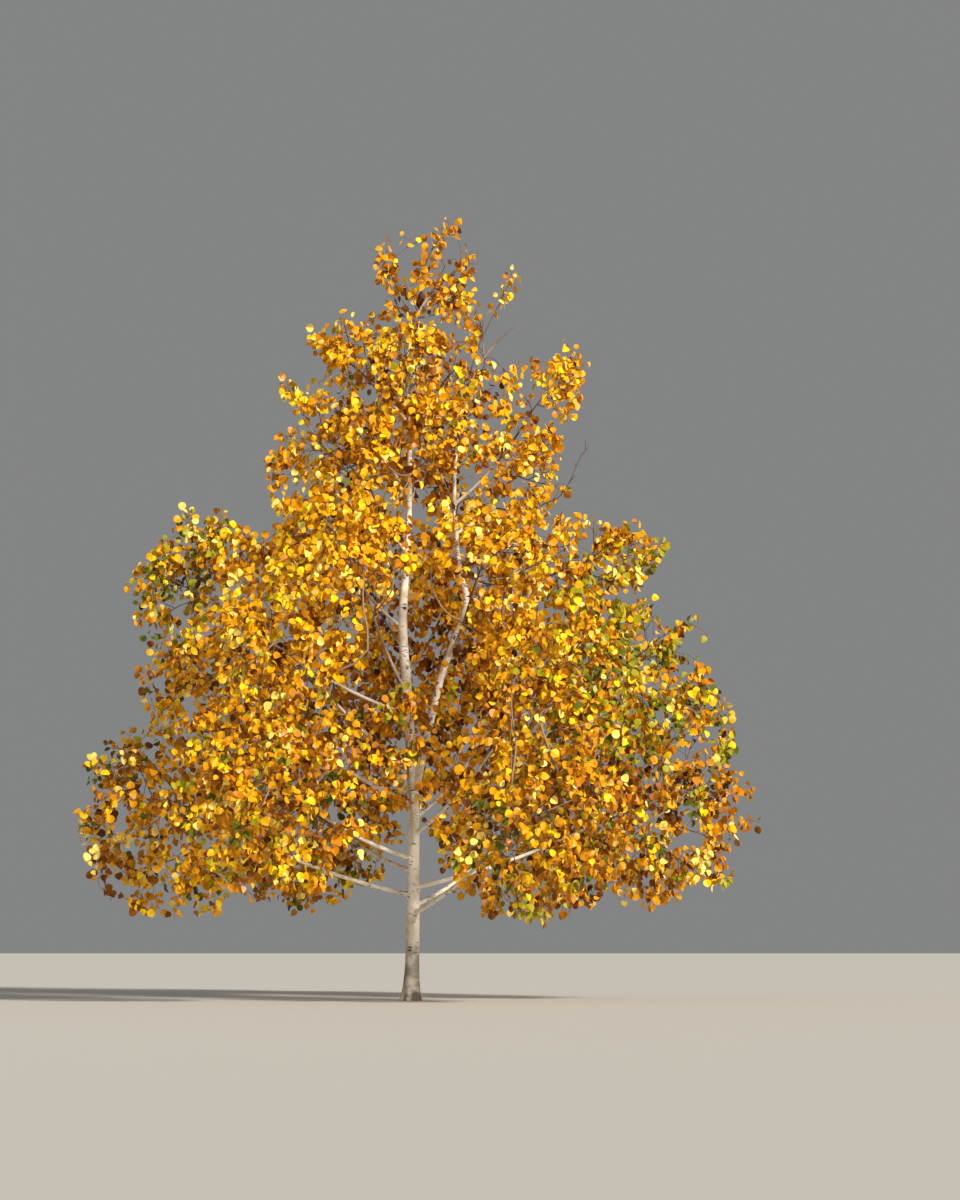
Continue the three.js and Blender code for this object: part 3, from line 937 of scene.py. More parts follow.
# The way to the sun, and the stretches of the stems that it reaches through the leaves
SUNWARD = (7.2, -9.5, 5.9)
SUNLIT = ((Host.TRUNK, 1640, 2120), (Host.TRUNK, 2300, 2560), (Host.SECOND_STEM, 1480, 2120))
# The crown's outline: its axis right of the trunk's foot, and how far out it reaches at some heights
CROWN_AXIS = 60
CROWN_HEIGHTS = (500, 900, 1650, 2200, 2700, 3200, 3640, 3950)
CROWN_REACHES = (1500, 1600, 1450, 1100, 800, 520, 340, 120)


class Parts(NamedTuple):
    """A number for each part of the crown where the colours differ; the inner one, how deep inside the crown
    a place lies, deals darker colours there as painted shade.
    """

    tips: float = 0
    low: float = 0
    wing: float = 0
    right: float = 0
    inner_shade: float = 0
    skirt: float = 0


class Season(NamedTuple):
    """How often a colour comes up: everywhere, how that changes in the crown's parts, and the least share."""

    everywhere: float
    changes: Parts
    least: float = 0

    def share(self, depths: Parts) -> float:
        """The colour's share at a place that lies so deep in each part, from 0 to 1."""
        return max(self.everywhere + sum(a * b for a, b in zip(self.changes, depths)), self.least)


# Deep inside the crown, yellow, gold and pale give way to amber, copper and rust: painted shade, not a colour
# the leaves have there
SEASONS = {
    Tint.YELLOW: Season(0.22, Parts(tips=-0.1, low=-0.09, wing=-0.12, inner_shade=-0.1, skirt=-0.06), 0.03),
    Tint.GOLDEN: Season(0.26, Parts(tips=-0.08, low=-0.08, wing=-0.1, inner_shade=-0.08, skirt=-0.06), 0.03),
    Tint.DEEP_GOLD: Season(0.22, Parts(tips=0.02, wing=-0.04)),
    Tint.AMBER: Season(0.12, Parts(tips=0.12, low=0.06, inner_shade=0.1, skirt=0.1)),
    # Pale leaves stand partly for painted highlights, so fewer come up deep inside the crown
    Tint.PALE_HIGHLIGHT: Season(0.12, Parts(tips=-0.03, low=-0.04, inner_shade=-0.05), 0.02),
    Tint.COPPER: Season(0.04, Parts(tips=0.09, low=0.09, inner_shade=0.09, skirt=0.1)),
    Tint.RUST: Season(0.012, Parts(tips=0.03, low=0.03, inner_shade=0.03)),
    Tint.LIME: Season(0.012, Parts(low=0.05, wing=0.24, right=0.36)),
    Tint.OLIVE: Season(0.004, Parts(low=0.05, wing=0.16, right=0.26)),
}


def tint_shares(place: Array) -> dict[Tint, float]:
    """How often each colour comes up in a part of the crown, from its tips inward and from the top down, with
    darker colours deeper inside as painted shade.

    Args:
        place: a place there.

    Returns:
        Each colour's share. The shares need not come to 1.
    """
    x, y, z = place
    out = math.hypot(x - CROWN_AXIS, y) / np.interp(z, CROWN_HEIGHTS, CROWN_REACHES)
    depths = Parts(
        tips=ramp(z, 3450, 3850),
        low=ramp(-z, -2100, -1200),
        wing=ramp(-x, 850, 1150) * ramp(z, 1650, 1850),
        right=ramp(x, 550, 1150) * ramp(-z, -2450, -1950) * ramp(z, 1000, 1350),
        # How deep inside the crown the place lies, where darker colours are dealt as painted shade
        inner_shade=ramp(-out, -0.72, -0.35),
        skirt=ramp(x, 500, 900) * ramp(-z, -1350, -1050),
    )
    return {tint: season.share(depths) for tint, season in SEASONS.items()}


def dealt(shares: dict[Tint, float], draw: float) -> Tint:
    """The colour that a number from 0 to 1 picks out of the shares.

    Args:
        shares: each colour's share.
        draw: the number.

    Returns:
        The colour.
    """
    left = draw * sum(shares.values())
    for tint, share in shares.items():
        left -= share
        if left < 0:
            return tint
    return tint


class Wood:
    """Places on some wood that new shoots can leave: where they are, which way they go and their girth."""

    KEPT_ON = 0.98
    FACING = (1.3, 0.55)

    def __init__(self) -> None:
        """Starts with no wood."""
        self.places = np.zeros((0, 3))
        self.ways = np.zeros((0, 3))
        self.girths = np.zeros(0)

    def add(self, limb: Limb, first: float, count: int) -> None:
        """Adds places along a limb, evenly from a share of its run to its tip.

        Args:
            limb: the limb.
            first: the share where they begin.
            count: how many they are.
        """
        shares = np.linspace(first, self.KEPT_ON, count)
        self.places = np.vstack([self.places, [limb.at_share(share) for share in shares]])
        self.ways = np.vstack([self.ways, [limb.ahead_at(share) for share in shares]])
        girths = np.interp(shares, np.linspace(0, 1, len(limb.radii)), limb.radii)
        self.girths = np.concatenate([self.girths, girths])

    def nearest(self, place: Array) -> tuple[int, float]:
        """Finds the wood that best reaches a place, where wood that points there counts as nearer.

        Args:
            place: the place.

        Returns:
            The wood's number, and how far it is.
        """
        offsets = place - self.places
        lengths = np.linalg.norm(offsets, axis=1)
        facing = (offsets * self.ways).sum(1) / np.maximum(lengths, 1)
        best = int((lengths * (self.FACING[0] - self.FACING[1] * facing)).argmin())
        return best, float(lengths[best])


@dataclass
class Foliage:
    """Everything finer than the source's twigs: shoots on its sprays and between them, and their leaves."""

    plant: Plant
    box: Array
    leaf_length: float = 41
    leaf_growth: Pair = (0.68, 1.2)
    leaf_step: float = 11
    leaf_leans: Pair = (45, 80)
    tip_leaf_leans: Pair = (0, 20)
    leaf_turn: float = 30
    leaf_droop: Pair = (0.35, 1.1)
    leaf_facing: Pair = (-0.9, 1.1)
    leaf_bends: tuple[Pair, ...] = ((0.08, 0.7), (-1.0, 0.8), (-0.5, 0.5))
    tip_leaf_size: float = 0.85
    blade_way: float = 0.6
    blade_stray: float = 0.3
    stalk: Pair = (18, 38)
    stalk_rise: float = 0.1
    own_tint: float = 0.55
    leaf_gap: float = 12
    limb_gap: float = 22
    leaf_tip_gap: float = 6
    past_reach: float = 12
    past_wall: float = 25
    past_box: float = 45
    axis_share: float = 0.76
    axis_first: float = 0.4
    axis_sweeps: tuple[Pair, ...] = ((-0.08, 0.08), (0.0, 0.06))
    spared: float = 1.2
    side_shoots: tuple[Pair, ...] = ((0.2, 0.4), (0.38, 0.36), (0.58, 0.26), (0.76, 0.16))
    side_leans: Pair = (42, 58)
    side_growth: Pair = (0.8, 1.1)
    side_first: float = 0.42
    side_tilt: float = 0.5
    side_bend: float = 0.08
    axis_radius: float = 3.0
    side_radius: float = 2.0
    tip_radius: float = 1.0
    shoot_ways: Triple = (0.7, 0.6, 0.1)
    shoot_radius: Triple = (0.85, 2.2, 0.009)
    shoot_gap: float = 12
    shoot_first: float = 0.3
    shoot_steps: int = 4
    leafy_end: float = 130
    long_radius: float = 3.6
    bare_radius: float = 4.4
    thick_gap: float = 100
    thin_gap: float = 126
    aim_gap: float = 30
    aims_tried: float = 9
    tuft: float = 130
    tuft_least: float = -0.45
    rim: Pair = (0.72, 0.6)
    high: Triple = (1700, 2600, 0.38)
    top: Triple = (3000, 3500, -0.9)
    far_out: Pair = (900, 2500)
    thickness_low: float = 0.42
    longest: float = 0.62
    longest_between: float = 320
    near_by: float = 200
    lowest: float = 400
    sag: float = 0.035
    sky_share: float = 0.3
    twig_steps: int = 6
    twig_taper: Pair = (1.25, 0.45)
    inside_front: float = 130
    below_knot: float = 60
    branchlet_steps: int = 16
    branchlet_tip: float = 1.6
    branchlet_spurs: int = 5
    branchlet_first: float = 0.4
    long_spur_first: float = 0.2
    long_steps: int = 4
    spur_turn: float = 50
    spur_steps: int = 3
    bared: float = 16
    behind: float = 15
    checked: tuple[float, float, int] = (0.1, 0.97, 70)
    lit: float = 26
    lit_step: float = 12
    left_on: float = 0.2
    shoots: list[Shoot] = field(default_factory=list)
    branchlets: list[Limb] = field(default_factory=list)
    leaves: list[Leaf] = field(default_factory=list)
    taken: dict[tuple[int, ...], list[Array]] = field(default_factory=dict)

    # Each kind of shoot counts its seeds from a number of its own
    SPRAY_SEEDS = (500_000, 50)
    FILL_SEEDS = (700_000, 20)
    BETWEEN_SEEDS = (8_000_000, 10_000)
    LONG_SEEDS = (9_000_000, 100)
    BRANCHLET_SEEDS = (9_500_000, 100)
    SPUR_SEEDS = (11, 31)
    TINT_SEED = 7
    LEAF_SEED = 31
    SIDE_SEED = 10
    BARED_SEED = 77
    LIT_SEED = 78
    BATCH = 2000

    def grow(self) -> None:
        """Grows the shoots of every mass, and hangs their leaves."""
        for mass in self.plant.masses:
            self.dress_twigs(mass)
            first = len(self.shoots)
            for i, spray in enumerate(mass.sprays):
                self.grow_spray(mass, spray, mass.seed + self.seed_of(self.SPRAY_SEEDS, i))
            self.fill(mass, self.shoots[first:])
            self.hang_leaves(self.shoots[first:], mass)
        first = len(self.shoots)
        wood = self.all_wood()
        for i, between in enumerate(BETWEENS):
            self.grow_between(between, wood, self.seed_of(self.BETWEEN_SEEDS, i))
        for i, long_shoot in enumerate(LONG_SHOOTS):
            self.grow_long(long_shoot, wood, self.seed_of(self.LONG_SEEDS, i))
        self.hang_leaves(self.shoots[first:])
        first = len(self.shoots)
        for i, branchlet in enumerate(BRANCHLETS):
            self.grow_branchlet(branchlet, wood, self.seed_of(self.BRANCHLET_SEEDS, i))
        self.bare_branchlets()
        self.light_stems()
        self.hang_leaves(self.shoots[first:])

    def seed_of(self, seeds: tuple[int, int], i: int) -> int:
        """The seed of the shoot i of a kind."""
        return seeds[0] + seeds[1] * i

    def dress_twigs(self, mass: Mass) -> None:
        """Drops the twigs of a mass that end in the open sky, and lets the others sag and taper.

        Args:
            mass: the mass.
        """
        deep = [opening for opening in OPENINGS if opening.deep]
        ends = [(twig, min(opening.leafy(twig.points[-1]) for opening in deep)) for twig in mass.twigs]
        dropped = [twig for twig, kept in ends if kept < self.sky_share]
        mass.twigs = [twig for twig in mass.twigs if all(twig is not other for other in dropped)]
        mass.sprays = [spray for spray in mass.sprays if all(spray.carrier is not other for other in dropped)]
        for twig in mass.twigs:
            start, end = twig.points
            length = np.linalg.norm(end - start)
            drop = UP * length * self.sag
            for spray in mass.sprays:
                if spray.carrier is twig:
                    share = min(np.linalg.norm(spray.root - start) / length, 1)
                    spray.root = spray.root - drop * 4 * share * (1 - share)
            twig.points = on_bend(start, (start + end) / 2 - 2 * drop, end, self.twig_steps)
            twig.radii = np.linspace(*(twig.radii[0] * part for part in self.twig_taper), self.twig_steps + 1)

    def grow_branchlet(self, branchlet: Branchlet, wood: Wood, seed: int) -> None:
        """Grows a branchlet just inside the crown's near side, from the nearest wood through its knots.

        Args:
            branchlet: the branchlet as the camera sees it.
            wood: the wood that it can leave.
            seed: the seed of its side shoots.
        """
        fronts = [self.near_side(x, z) for x, z in branchlet.knots]
        depth = np.mean(fronts) + self.inside_front
        share = 1 - depth / VIEW_POINT[1]
        right, _, height = VIEW_POINT
        places = [(mix(right, x, share), depth, mix(height, z, share)) for x, z in branchlet.knots]
        below = wood.places[wood.places[:, 2] < places[0][2] - self.below_knot]
        foot = below[np.linalg.norm(below - places[0], axis=1).argmin()]
        line = limb_through([(z, x, y, 0) for x, y, z in (foot, *places)], self.branchlet_steps)
        line.radii = np.linspace(branchlet.radius, self.branchlet_tip, self.branchlet_steps + 1)
        self.branchlets.append(line)
        self.grow_spurs(line, BRANCHLET_SPURS, self.branchlet_spurs, self.branchlet_first, seed)

    def near_side(self, x: float, z: float) -> float:
        """How far towards the camera the crown reaches at a place right and up.

        Args:
            x: how far right the place is.
            z: how high it is.

        Returns:
            The place's distance away, below 0 where the crown comes nearer than the trunk.
        """
        reaches = [0.0]
        for mass in self.plant.masses:
            square = mass.reach**2 - (x - mass.middle[0]) ** 2 - (z - mass.middle[2]) ** 2
            if square > 0:
                reaches.append(mass.middle[1] - math.sqrt(square))
        return min(reaches)

    def bare_branchlets(self) -> None:
        """Drops most of the leaves that would hide a branchlet from the camera."""
        shares = np.linspace(*self.checked)
        places = np.array([line.at_share(share) for line in self.branchlets for share in shares])
        seen, depths = self.seen(places), places[:, 1]
        middles = blade_points(self.leaves, 0.5)
        leaf_seen = self.seen(middles)
        hiding = np.zeros(len(middles), bool)
        for start in range(0, len(middles), self.BATCH):
            some = slice(start, start + self.BATCH)
            near = ((leaf_seen[some, None] - seen) ** 2).sum(-1) < self.bared**2
            hiding[some] = (near & (middles[some, None, 1] < depths + self.behind)).any(1)
        self.thin(hiding, self.BARED_SEED)

    def light_stems(self) -> None:
        """Drops most of the leaves that would shade the stretches of the stems where the sun falls."""
        sunward = unit(np.array(SUNWARD))
        middles = blade_points(self.leaves, 0.5)
        shading = np.zeros(len(middles), bool)
        for host, low, high in SUNLIT:
            for height in np.arange(low, high, self.lit_step):
                offsets = middles - self.plant.stems[host].at_height(height)
                ahead = offsets @ sunward
                aside = np.linalg.norm(offsets - ahead[:, None] * sunward, axis=1)
                shading |= (ahead > 0) & (aside < self.lit)
        self.thin(shading, self.LIT_SEED)

    def thin(self, marked: Array, seed: int) -> None:
        """Drops most of the leaves that are marked."""
        stays = np.random.default_rng(seed).random(len(self.leaves)) < self.left_on
        self.leaves = [leaf for leaf, kept in zip(self.leaves, stays | ~marked) if kept]

    def seen(self, places: Array) -> Array:
        """Where the camera sees some places, on the upright plane through the trunk's foot, right and up."""
        middle, share = np.array(VIEW_POINT)[[0, 2]], VIEW_POINT[1] / (VIEW_POINT[1] - places[:, 1])
        return middle + (places[:, [0, 2]] - middle) * share[:, None]

    def all_wood(self) -> Wood:
        """The wood of the whole plant down to its twigs.

        Returns:
            The wood.
        """
        wood = Wood()
        for mass in self.plant.masses:
            wood.add(mass.stem, first=0.1, count=9)
            if mass.bough:
                wood.add(mass.bough, first=0.3, count=9)
            for twig in mass.twigs:
                wood.add(twig, first=0.2, count=6)
        wood.add(self.plant.stems[Host.TRUNK], first=0.3, count=60)
        wood.add(self.plant.stems[Host.SECOND_STEM], first=0.1, count=50)
        return wood

    def grow_between(self, between: Between, wood: Wood, seed: int) -> None:
        """Grows leafy shoots from the nearest wood into a stretch between the masses.

        Args:
            between: the stretch.
            wood: the wood that they can leave, which each new shoot joins.
            seed: the seed of their places.
        """
        random = np.random.default_rng(seed)
        reaches = np.array(between.reaches)
        count = int(reaches.prod() / between.gap**3 * self.aims_tried)
        depths = random.random(count) ** (1 / 3)
        places = np.array(between.middle) + unit(random.normal(size=(count, 3))) * depths[:, None] * reaches
        keep = self.plant.surfaces.gaps(places) > self.aim_gap
        keep &= random.random(count) < [self.leafiness(place) for place in places]
        near = np.concatenate([shoot.line.points[1:] for shoot in self.shoots])
        near = near[(np.abs(near - between.middle) < reaches + self.near_by).all(1)]
        for i, place in enumerate(places[keep]):
            if ((near - place) ** 2).sum(1).min() > between.gap**2:
                near = np.vstack([near, place])
                self.grow_to(place, wood, self.longest_between, seed + self.FILL_SEEDS[1] * i)

    def grow_to(self, aim: Array, wood: Wood, longest: float, seed: int) -> None:
        """Grows a shoot from the nearest wood to an aim, unless it would be too long or meet a limb.

        Args:
            aim: where it ends.
            wood: the wood that it can leave, which it joins.
            longest: how long it may be.
            seed: the seed of its leaves.
        """
        best, length = wood.nearest(aim)
        if length > longest:
            return
        foot, way = wood.places[best], wood.ways[best]
        keeps, seeks, climbs = self.shoot_ways
        bend = foot + unit(way * keeps + unit(aim - foot) * seeks + UP * climbs) * length * 0.5
        points = on_bend(foot, bend, aim, self.shoot_steps)
        if (self.plant.surfaces.gaps(points[2:]) > self.shoot_gap).all():
            share, least, growth = self.shoot_radius
            base = min(wood.girths[best] * share, least + length * growth)
            first = max(self.shoot_first, 1 - self.leafy_end / length)
            shoot = self.add_shoot(points, base, first, seed)
            wood.add(shoot, first=0.3, count=3)

    def grow_long(self, long_shoot: LongShoot, wood: Wood, seed: int) -> None:
        """Grows a shoot that stands out of the crown, from the nearest wood through its knots.

        Args:
            long_shoot: the shoot.
            wood: the wood that it can leave.
            seed: the seed of its leaves and spurs.
        """
        knots = np.array(long_shoot.knots, float)
        best, _ = wood.nearest(knots[0])
        rows = [(z, x, y, 0) for x, y, z in (wood.places[best], *knots)]
        line = limb_through(rows, self.long_steps * (len(rows) - 1))
        radius = self.bare_radius if long_shoot.bare else self.long_radius
        whole = self.add_shoot(line.points, radius, long_shoot.first, seed)
        first = 1 if long_shoot.bare else self.long_spur_first
        self.grow_spurs(whole, LONG_SHOOT_SPURS, long_shoot.spurs, first, seed)

    def grow_spurs(self, line: Limb, spurs: Spurs, count: int, first: float, seed: int) -> None:
        """Grows short side shoots along a line, left and right in turn.

        Where they have a tip lean, the last one stands at the line's tip.

        Args:
            line: the line that bears them.
            spurs: how they grow.
            count: how many there are.
            first: the share of each where its leaves begin, or 1 for none.
            seed: the seed of their places and leaves.
        """
        for k in range(count):
            random = SeededRandom(seed + self.SPUR_SEEDS[0] + k)
            at_tip = spurs.tip_lean is not None and k == count - 1
            share = 1.0 if at_tip else mix(*spurs.places, (k + random.next()) / count)
            lean = spurs.tip_lean if at_tip else random.between(*spurs.leans)
            way = leant(line.ahead_at(share), lean, 180 * k + random.between(-self.spur_turn, self.spur_turn))
            foot = line.at_share(share)
            length = random.between(*spurs.lengths) * mix(*spurs.growth, share)
            end = foot + way * length * spurs.reach + UP * length * spurs.rise
            points = on_bend(foot, foot + way * length / 2, end, self.spur_steps)
            self.add_shoot(points, spurs.radius, first, seed + self.SPUR_SEEDS[1] + k)

    def add_shoot(self, points: Array, base: float, first: float, seed: int) -> Limb:
        """Keeps a shoot along some points, and deals it a colour by where it is.

        Args:
            points: the points of its line.
            base: its radius at the foot.
            first: the share of it where its leaves begin.
            seed: its seed.

        Returns:
            Its line.
        """
        shares = tint_shares(points.mean(0))
        tint = dealt(shares, SeededRandom(seed + self.TINT_SEED).next())
        line = Limb(points, np.linspace(base, self.tip_radius, len(points)))
        self.shoots.append(Shoot(line, first, tint, shares, seed))
        return line

    def grow_spray(self, mass: Mass, spray: Spray, seed: int) -> None:
        """Grows a shoot along a spray's place, and side shoots that fill its plate.

        Args:
            mass: the spray's mass.
            spray: the spray.
            seed: the seed of its shoots.
        """
        random = SeededRandom(seed)
        reach = spray.length * self.axis_share
        aside, upward = (random.between(*sweep) for sweep in self.axis_sweeps)
        sweep = spray.wide * reach * aside + UP * reach * upward
        end = spray.root + spray.along * reach + sweep * 0.5
        if random.next() > self.leafiness(end) * self.spared:
            return
        axis = on_bend(spray.root, spray.root + spray.along * reach * 0.5 + sweep, end, 4)
        line = self.add_shoot(axis, self.axis_radius, self.axis_first, seed)
        normal = np.cross(spray.along, spray.wide)
        for k, (share, span) in enumerate(self.side_shoots):
            hand = 1 if k % 2 else -1
            lean = math.radians(random.between(*self.side_leans))
            tilt = normal * random.between(-self.side_tilt, self.side_tilt)
            way = unit(spray.along * math.cos(lean) + spray.wide * hand * math.sin(lean) + tilt)
            foot = line.at_share(share)
            length = spray.length * span * random.between(*self.side_growth)
            tip = foot + way * length
            bend = (foot + tip) / 2 - spray.along * length * self.side_bend
            if mass.holds(tip[None], 0, self.past_reach).all():
                side = on_bend(foot, bend, tip, 3)
                self.add_shoot(side, self.side_radius, self.side_first, seed + self.SIDE_SEED + k)

    def thickness(self, places: Array) -> Array:
        """How thickly the crown is leafed at some places, from 0 to 1: most high up and near its middle.

        Args:
            places: the places, one in each row.

        Returns:
            A number for each.
        """
        out = np.hypot(places[:, 0] - CROWN_AXIS, places[:, 1])
        thick = self.thickness_low - np.maximum(out - self.far_out[0], 0) / self.far_out[1]
        for low, high, change in (self.high, self.top):
            thick = thick + change * np.clip((places[:, 2] - low) / (high - low), 0, 1)
        return np.clip(thick, 0, 1)

    def aims(self, mass: Mass, shoots: Sequence[Shoot]) -> Array:
        """Places spread through what shoots leave empty of a mass's space, fewer towards its rim.

        Args:
            mass: the mass.
            shoots: the shoots that stand in it already.

        Returns:
            The places, one in each row.
        """
        random = np.random.default_rng(mass.seed)
        count = int((mass.reach / self.thick_gap) ** 3 * self.aims_tried)
        depths = random.random(count) ** (1 / 3)
        places = mass.middle + unit(random.normal(size=(count, 3))) * (depths * mass.reach)[:, None]
        keep = mass.holds(places, -self.past_wall / 2, 0) & (places[:, 2] > self.lowest)
        tufts = np.array([noise.noise(Vector(place / self.tuft)) for place in places])
        start, loss = self.rim
        keep &= tufts > self.tuft_least + loss * np.clip((depths - start) / (1 - start), 0, 1)
        keep &= random.random(count) < [self.leafiness(place) for place in places]
        keep &= self.plant.surfaces.gaps(places) > self.aim_gap
        places = places[keep]
        gaps = self.thin_gap + (self.thick_gap - self.thin_gap) * self.thickness(places)
        taken = np.concatenate([mass.stem.points, *(shoot.line.points[1:] for shoot in shoots)])
        chosen = []
        for place, gap in zip(places, gaps):
            if ((taken - place) ** 2).sum(1).min() > gap**2:
                taken = np.vstack([taken, place])
                chosen.append(place)
        return np.array(chosen).reshape(-1, 3)

    def fill(self, mass: Mass, shoots: Sequence[Shoot]) -> None:
        """Fills what is empty of a mass's space with shoots that leave the nearest wood, nearest first.

        Args:
            mass: the mass.
            shoots: the shoots that stand in it already.
        """
        wood = Wood()
        wood.add(mass.stem, first=0.1, count=9)
        if mass.bough:
            wood.add(mass.bough, first=0.55, count=6)
        for twig in mass.twigs:
            wood.add(twig, first=0.3, count=6)
        for shoot in shoots:
            wood.add(shoot.line, first=0.25, count=3)
        aims = self.aims(mass, shoots)
        order = sorted(range(len(aims)), key=lambda i: wood.nearest(aims[i])[1])
        for i, aim in enumerate(aims[order]):
            self.grow_to(aim, wood, mass.reach * self.longest, mass.seed + self.seed_of(self.FILL_SEEDS, i))

    def leaves_on(self, shoot: Shoot) -> list[Leaf]:
        """The leaves that a shoot would bear, in a spiral, on stalks that spread and blades that droop.

        Args:
            shoot: the shoot.

        Returns:
            Its leaves, from the first to the one at its tip.
        """
        random = SeededRandom(shoot.seed + self.LEAF_SEED)
        run = np.linalg.norm(np.diff(shoot.line.points, axis=0), axis=1).sum()
        count = max(int(run * (1 - shoot.first) / self.leaf_step), 1)
        leaves = []
        for k in range(count + 1):
            share = mix(shoot.first, 1, k / count)
            ahead = shoot.line.ahead_at(share)
            lean = random.between(*(self.leaf_leans if k < count else self.tip_leaf_leans))
            way = leant(ahead, lean, k * GOLDEN_ANGLE + random.between(-self.leaf_turn, self.leaf_turn))
            foot = shoot.line.at_share(share)
            base = foot + (way + UP * self.stalk_rise) * random.between(*self.stalk)
            stray = np.array([random.between(-1, 1) for _ in range(3)])
            droop = UP * random.between(*self.leaf_droop)
            blade = unit(way * self.blade_way - droop + stray * self.blade_stray)
            turn = random.between(0, 2 * math.pi)
            face = np.array([math.cos(turn), math.sin(turn), random.between(*self.leaf_facing)])
            normal = unit(face - blade * face.dot(blade))
            size = self.leaf_length * random.between(*self.leaf_growth) * mix(1, self.tip_leaf_size, share)
            bends = tuple(random.between(*bend) for bend in self.leaf_bends)
            tint = shoot.tint if random.next() < self.own_tint else dealt(shoot.crowd, random.next())
            leaves.append(Leaf(foot, base, blade, normal, size, bends, tint, random.next()))
        return leaves

    def hang_leaves(self, shoots: Sequence[Shoot], mass: Mass | None = None) -> None:
        """Hangs leaves round some shoots, and drops those that touch a limb or another leaf.

        Args:
            shoots: the shoots.
            mass: the mass whose space the leaves keep to, if there is one.
        """
        leaves = [leaf for shoot in shoots if shoot.first < 1 for leaf in self.leaves_on(shoot)]
        middles, tips = blade_points(leaves, 0.5), blade_points(leaves, 1)
        fits = ((tips > self.box[0] - self.past_box) & (tips < self.box[1] + self.past_box)).all(1)
        if mass:
            fits &= mass.holds(middles, -self.past_wall, self.past_reach)
        surfaces = self.plant.surfaces
        fits &= (surfaces.gaps(middles) > self.limb_gap) & (surfaces.gaps(tips) > self.leaf_tip_gap)
        for leaf, middle, fit in zip(leaves, middles, fits):
            open_enough = mass is None or leaf.draw < self.leafiness(middle)
            if fit and open_enough and self.claim(middle):
                self.leaves.append(leaf)

    def leafiness(self, place: Array) -> float:
        """The share of leaves that stays at a place: few do where the crown is open."""
        return min(opening.leafy(place) for opening in OPENINGS)

    def claim(self, place: Array) -> bool:
        """Takes a place for a leaf, unless another leaf's middle is too near.

        Args:
            place: the leaf's middle.

        Returns:
            Whether the leaf has the place.
        """
        cell = tuple(int(c // self.leaf_gap) for c in place)
        for step in product((-1, 0, 1), repeat=3):
            for other in self.taken.get((cell[0] + step[0], cell[1] + step[1], cell[2] + step[2]), ()):
                if ((other - place) ** 2).sum() < self.leaf_gap**2:
                    return False
        self.taken.setdefault(cell, []).append(place)
        return True


# Meshes


def mesh_piece(name: str, corners: Array, faces: Array) -> Object:
    """A piece from arrays, smooth all over.

    Args:
        name: the piece's name.
        corners: its corners in millimetres, one in each row.
        faces: its triangles, three corner numbers in each row.

    Returns:
        The piece, linked to the scene.
    """
    mesh = bpy.data.meshes.new(name)
    mesh.vertices.add(len(corners))
    mesh.vertices.foreach_set("co", (corners * MM).astype(np.float32).ravel())
    mesh.loops.add(faces.size)
    mesh.loops.foreach_set("vertex_index", faces.astype(np.int32).ravel())
    mesh.polygons.add(len(faces))
    mesh.polygons.foreach_set("loop_start", np.arange(0, faces.size, 3, dtype=np.int32))
    mesh.update(calc_edges=True)
    mesh.validate()
    mesh.shade_smooth()
    piece = bpy.data.objects.new(name, mesh)
    bpy.context.scene.collection.objects.link(piece)
    return piece


def tubes(lines: Array, radii: Array, sides: int) -> tuple[Array, Array]:
    """Closed tubes round lines that all have the same number of points.

    Args:
        lines: the lines' points, in an array of lines, points and coordinates.
        radii: the radius at each point.
        sides: how many sides a tube has.

    Returns:
        The tubes' corners and triangles.
    """
    count, rings, _ = lines.shape
    ahead = np.empty_like(lines)
    ahead[:, 1:-1] = lines[:, 2:] - lines[:, :-2]
    ahead[:, 0], ahead[:, -1] = lines[:, 1] - lines[:, 0], lines[:, -1] - lines[:, -2]
    ahead = unit(ahead)
    overall = unit(lines[:, -1] - lines[:, 0])
    reference = np.where(np.abs(overall[:, 2:]) > STEEP, AWAY, UP)
    side = np.cross(overall, reference)[:, None, :]
    side = unit(side - (side * ahead).sum(-1, keepdims=True) * ahead)
    up = np.cross(ahead, side)
    turns = np.arange(sides) * 2 * math.pi / sides
    round_side = np.cos(turns)[:, None] * side[:, :, None, :] + np.sin(turns)[:, None] * up[:, :, None, :]
    corners = lines[:, :, None, :] + radii[:, :, None, None] * round_side
    pattern = []
    for ring in range(rings - 1):
        for i in range(sides):
            here, following = ring * sides + i, ring * sides + (i + 1) % sides
            pattern += [(here, following, following + sides), (here, following + sides, here + sides)]
    last = (rings - 1) * sides
    for i in range(1, sides - 1):
        pattern += [(0, i + 1, i), (last, last + i, last + i + 1)]
    faces = np.array(pattern)[None] + (np.arange(count) * rings * sides)[:, None, None]
    return corners.reshape(-1, 3), faces.reshape(-1, 3)


def joined(parts: Sequence[tuple[Array, Array]]) -> tuple[Array, Array]:
    """Joins several meshes.

    Args:
        parts: the corners and the triangles of each.

    Returns:
        The corners and the triangles of the whole.
    """
    corners, faces, offset = [], [], 0
    for part_corners, part_faces in parts:
        corners.append(part_corners)
        faces.append(part_faces + offset)
        offset += len(part_corners)
    return np.concatenate(corners), np.concatenate(faces)


# Finishes


def linear(colour: str) -> tuple[float, float, float, float]:
    """A screen colour such as #E9E0CC as the linear one that shaders take."""
    parts = [int(colour[i : i + 2], 16) / 255 for i in (1, 3, 5)]
    return (*(c / 12.92 if c <= 0.04045 else ((c + 0.055) / 1.055) ** 2.4 for c in parts), 1.0)


def add_node(tree: NodeTree, kind: str, inputs: dict, **settings) -> Node:
    """Adds a node to a tree.

    Args:
        tree: the material's or world's node tree.
        kind: the node's type.
        inputs: for an input's name or number, a value or the output that feeds it.
        settings: the node's own settings.

    Returns:
        The node.
    """
    made = tree.nodes.new(kind)
    for setting, value in settings.items():
        setattr(made, setting, value)
    for socket, value in inputs.items():
        if isinstance(value, NodeSocket):
            tree.links.new(value, made.inputs[socket])
        else:
            made.inputs[socket].default_value = value
    return made


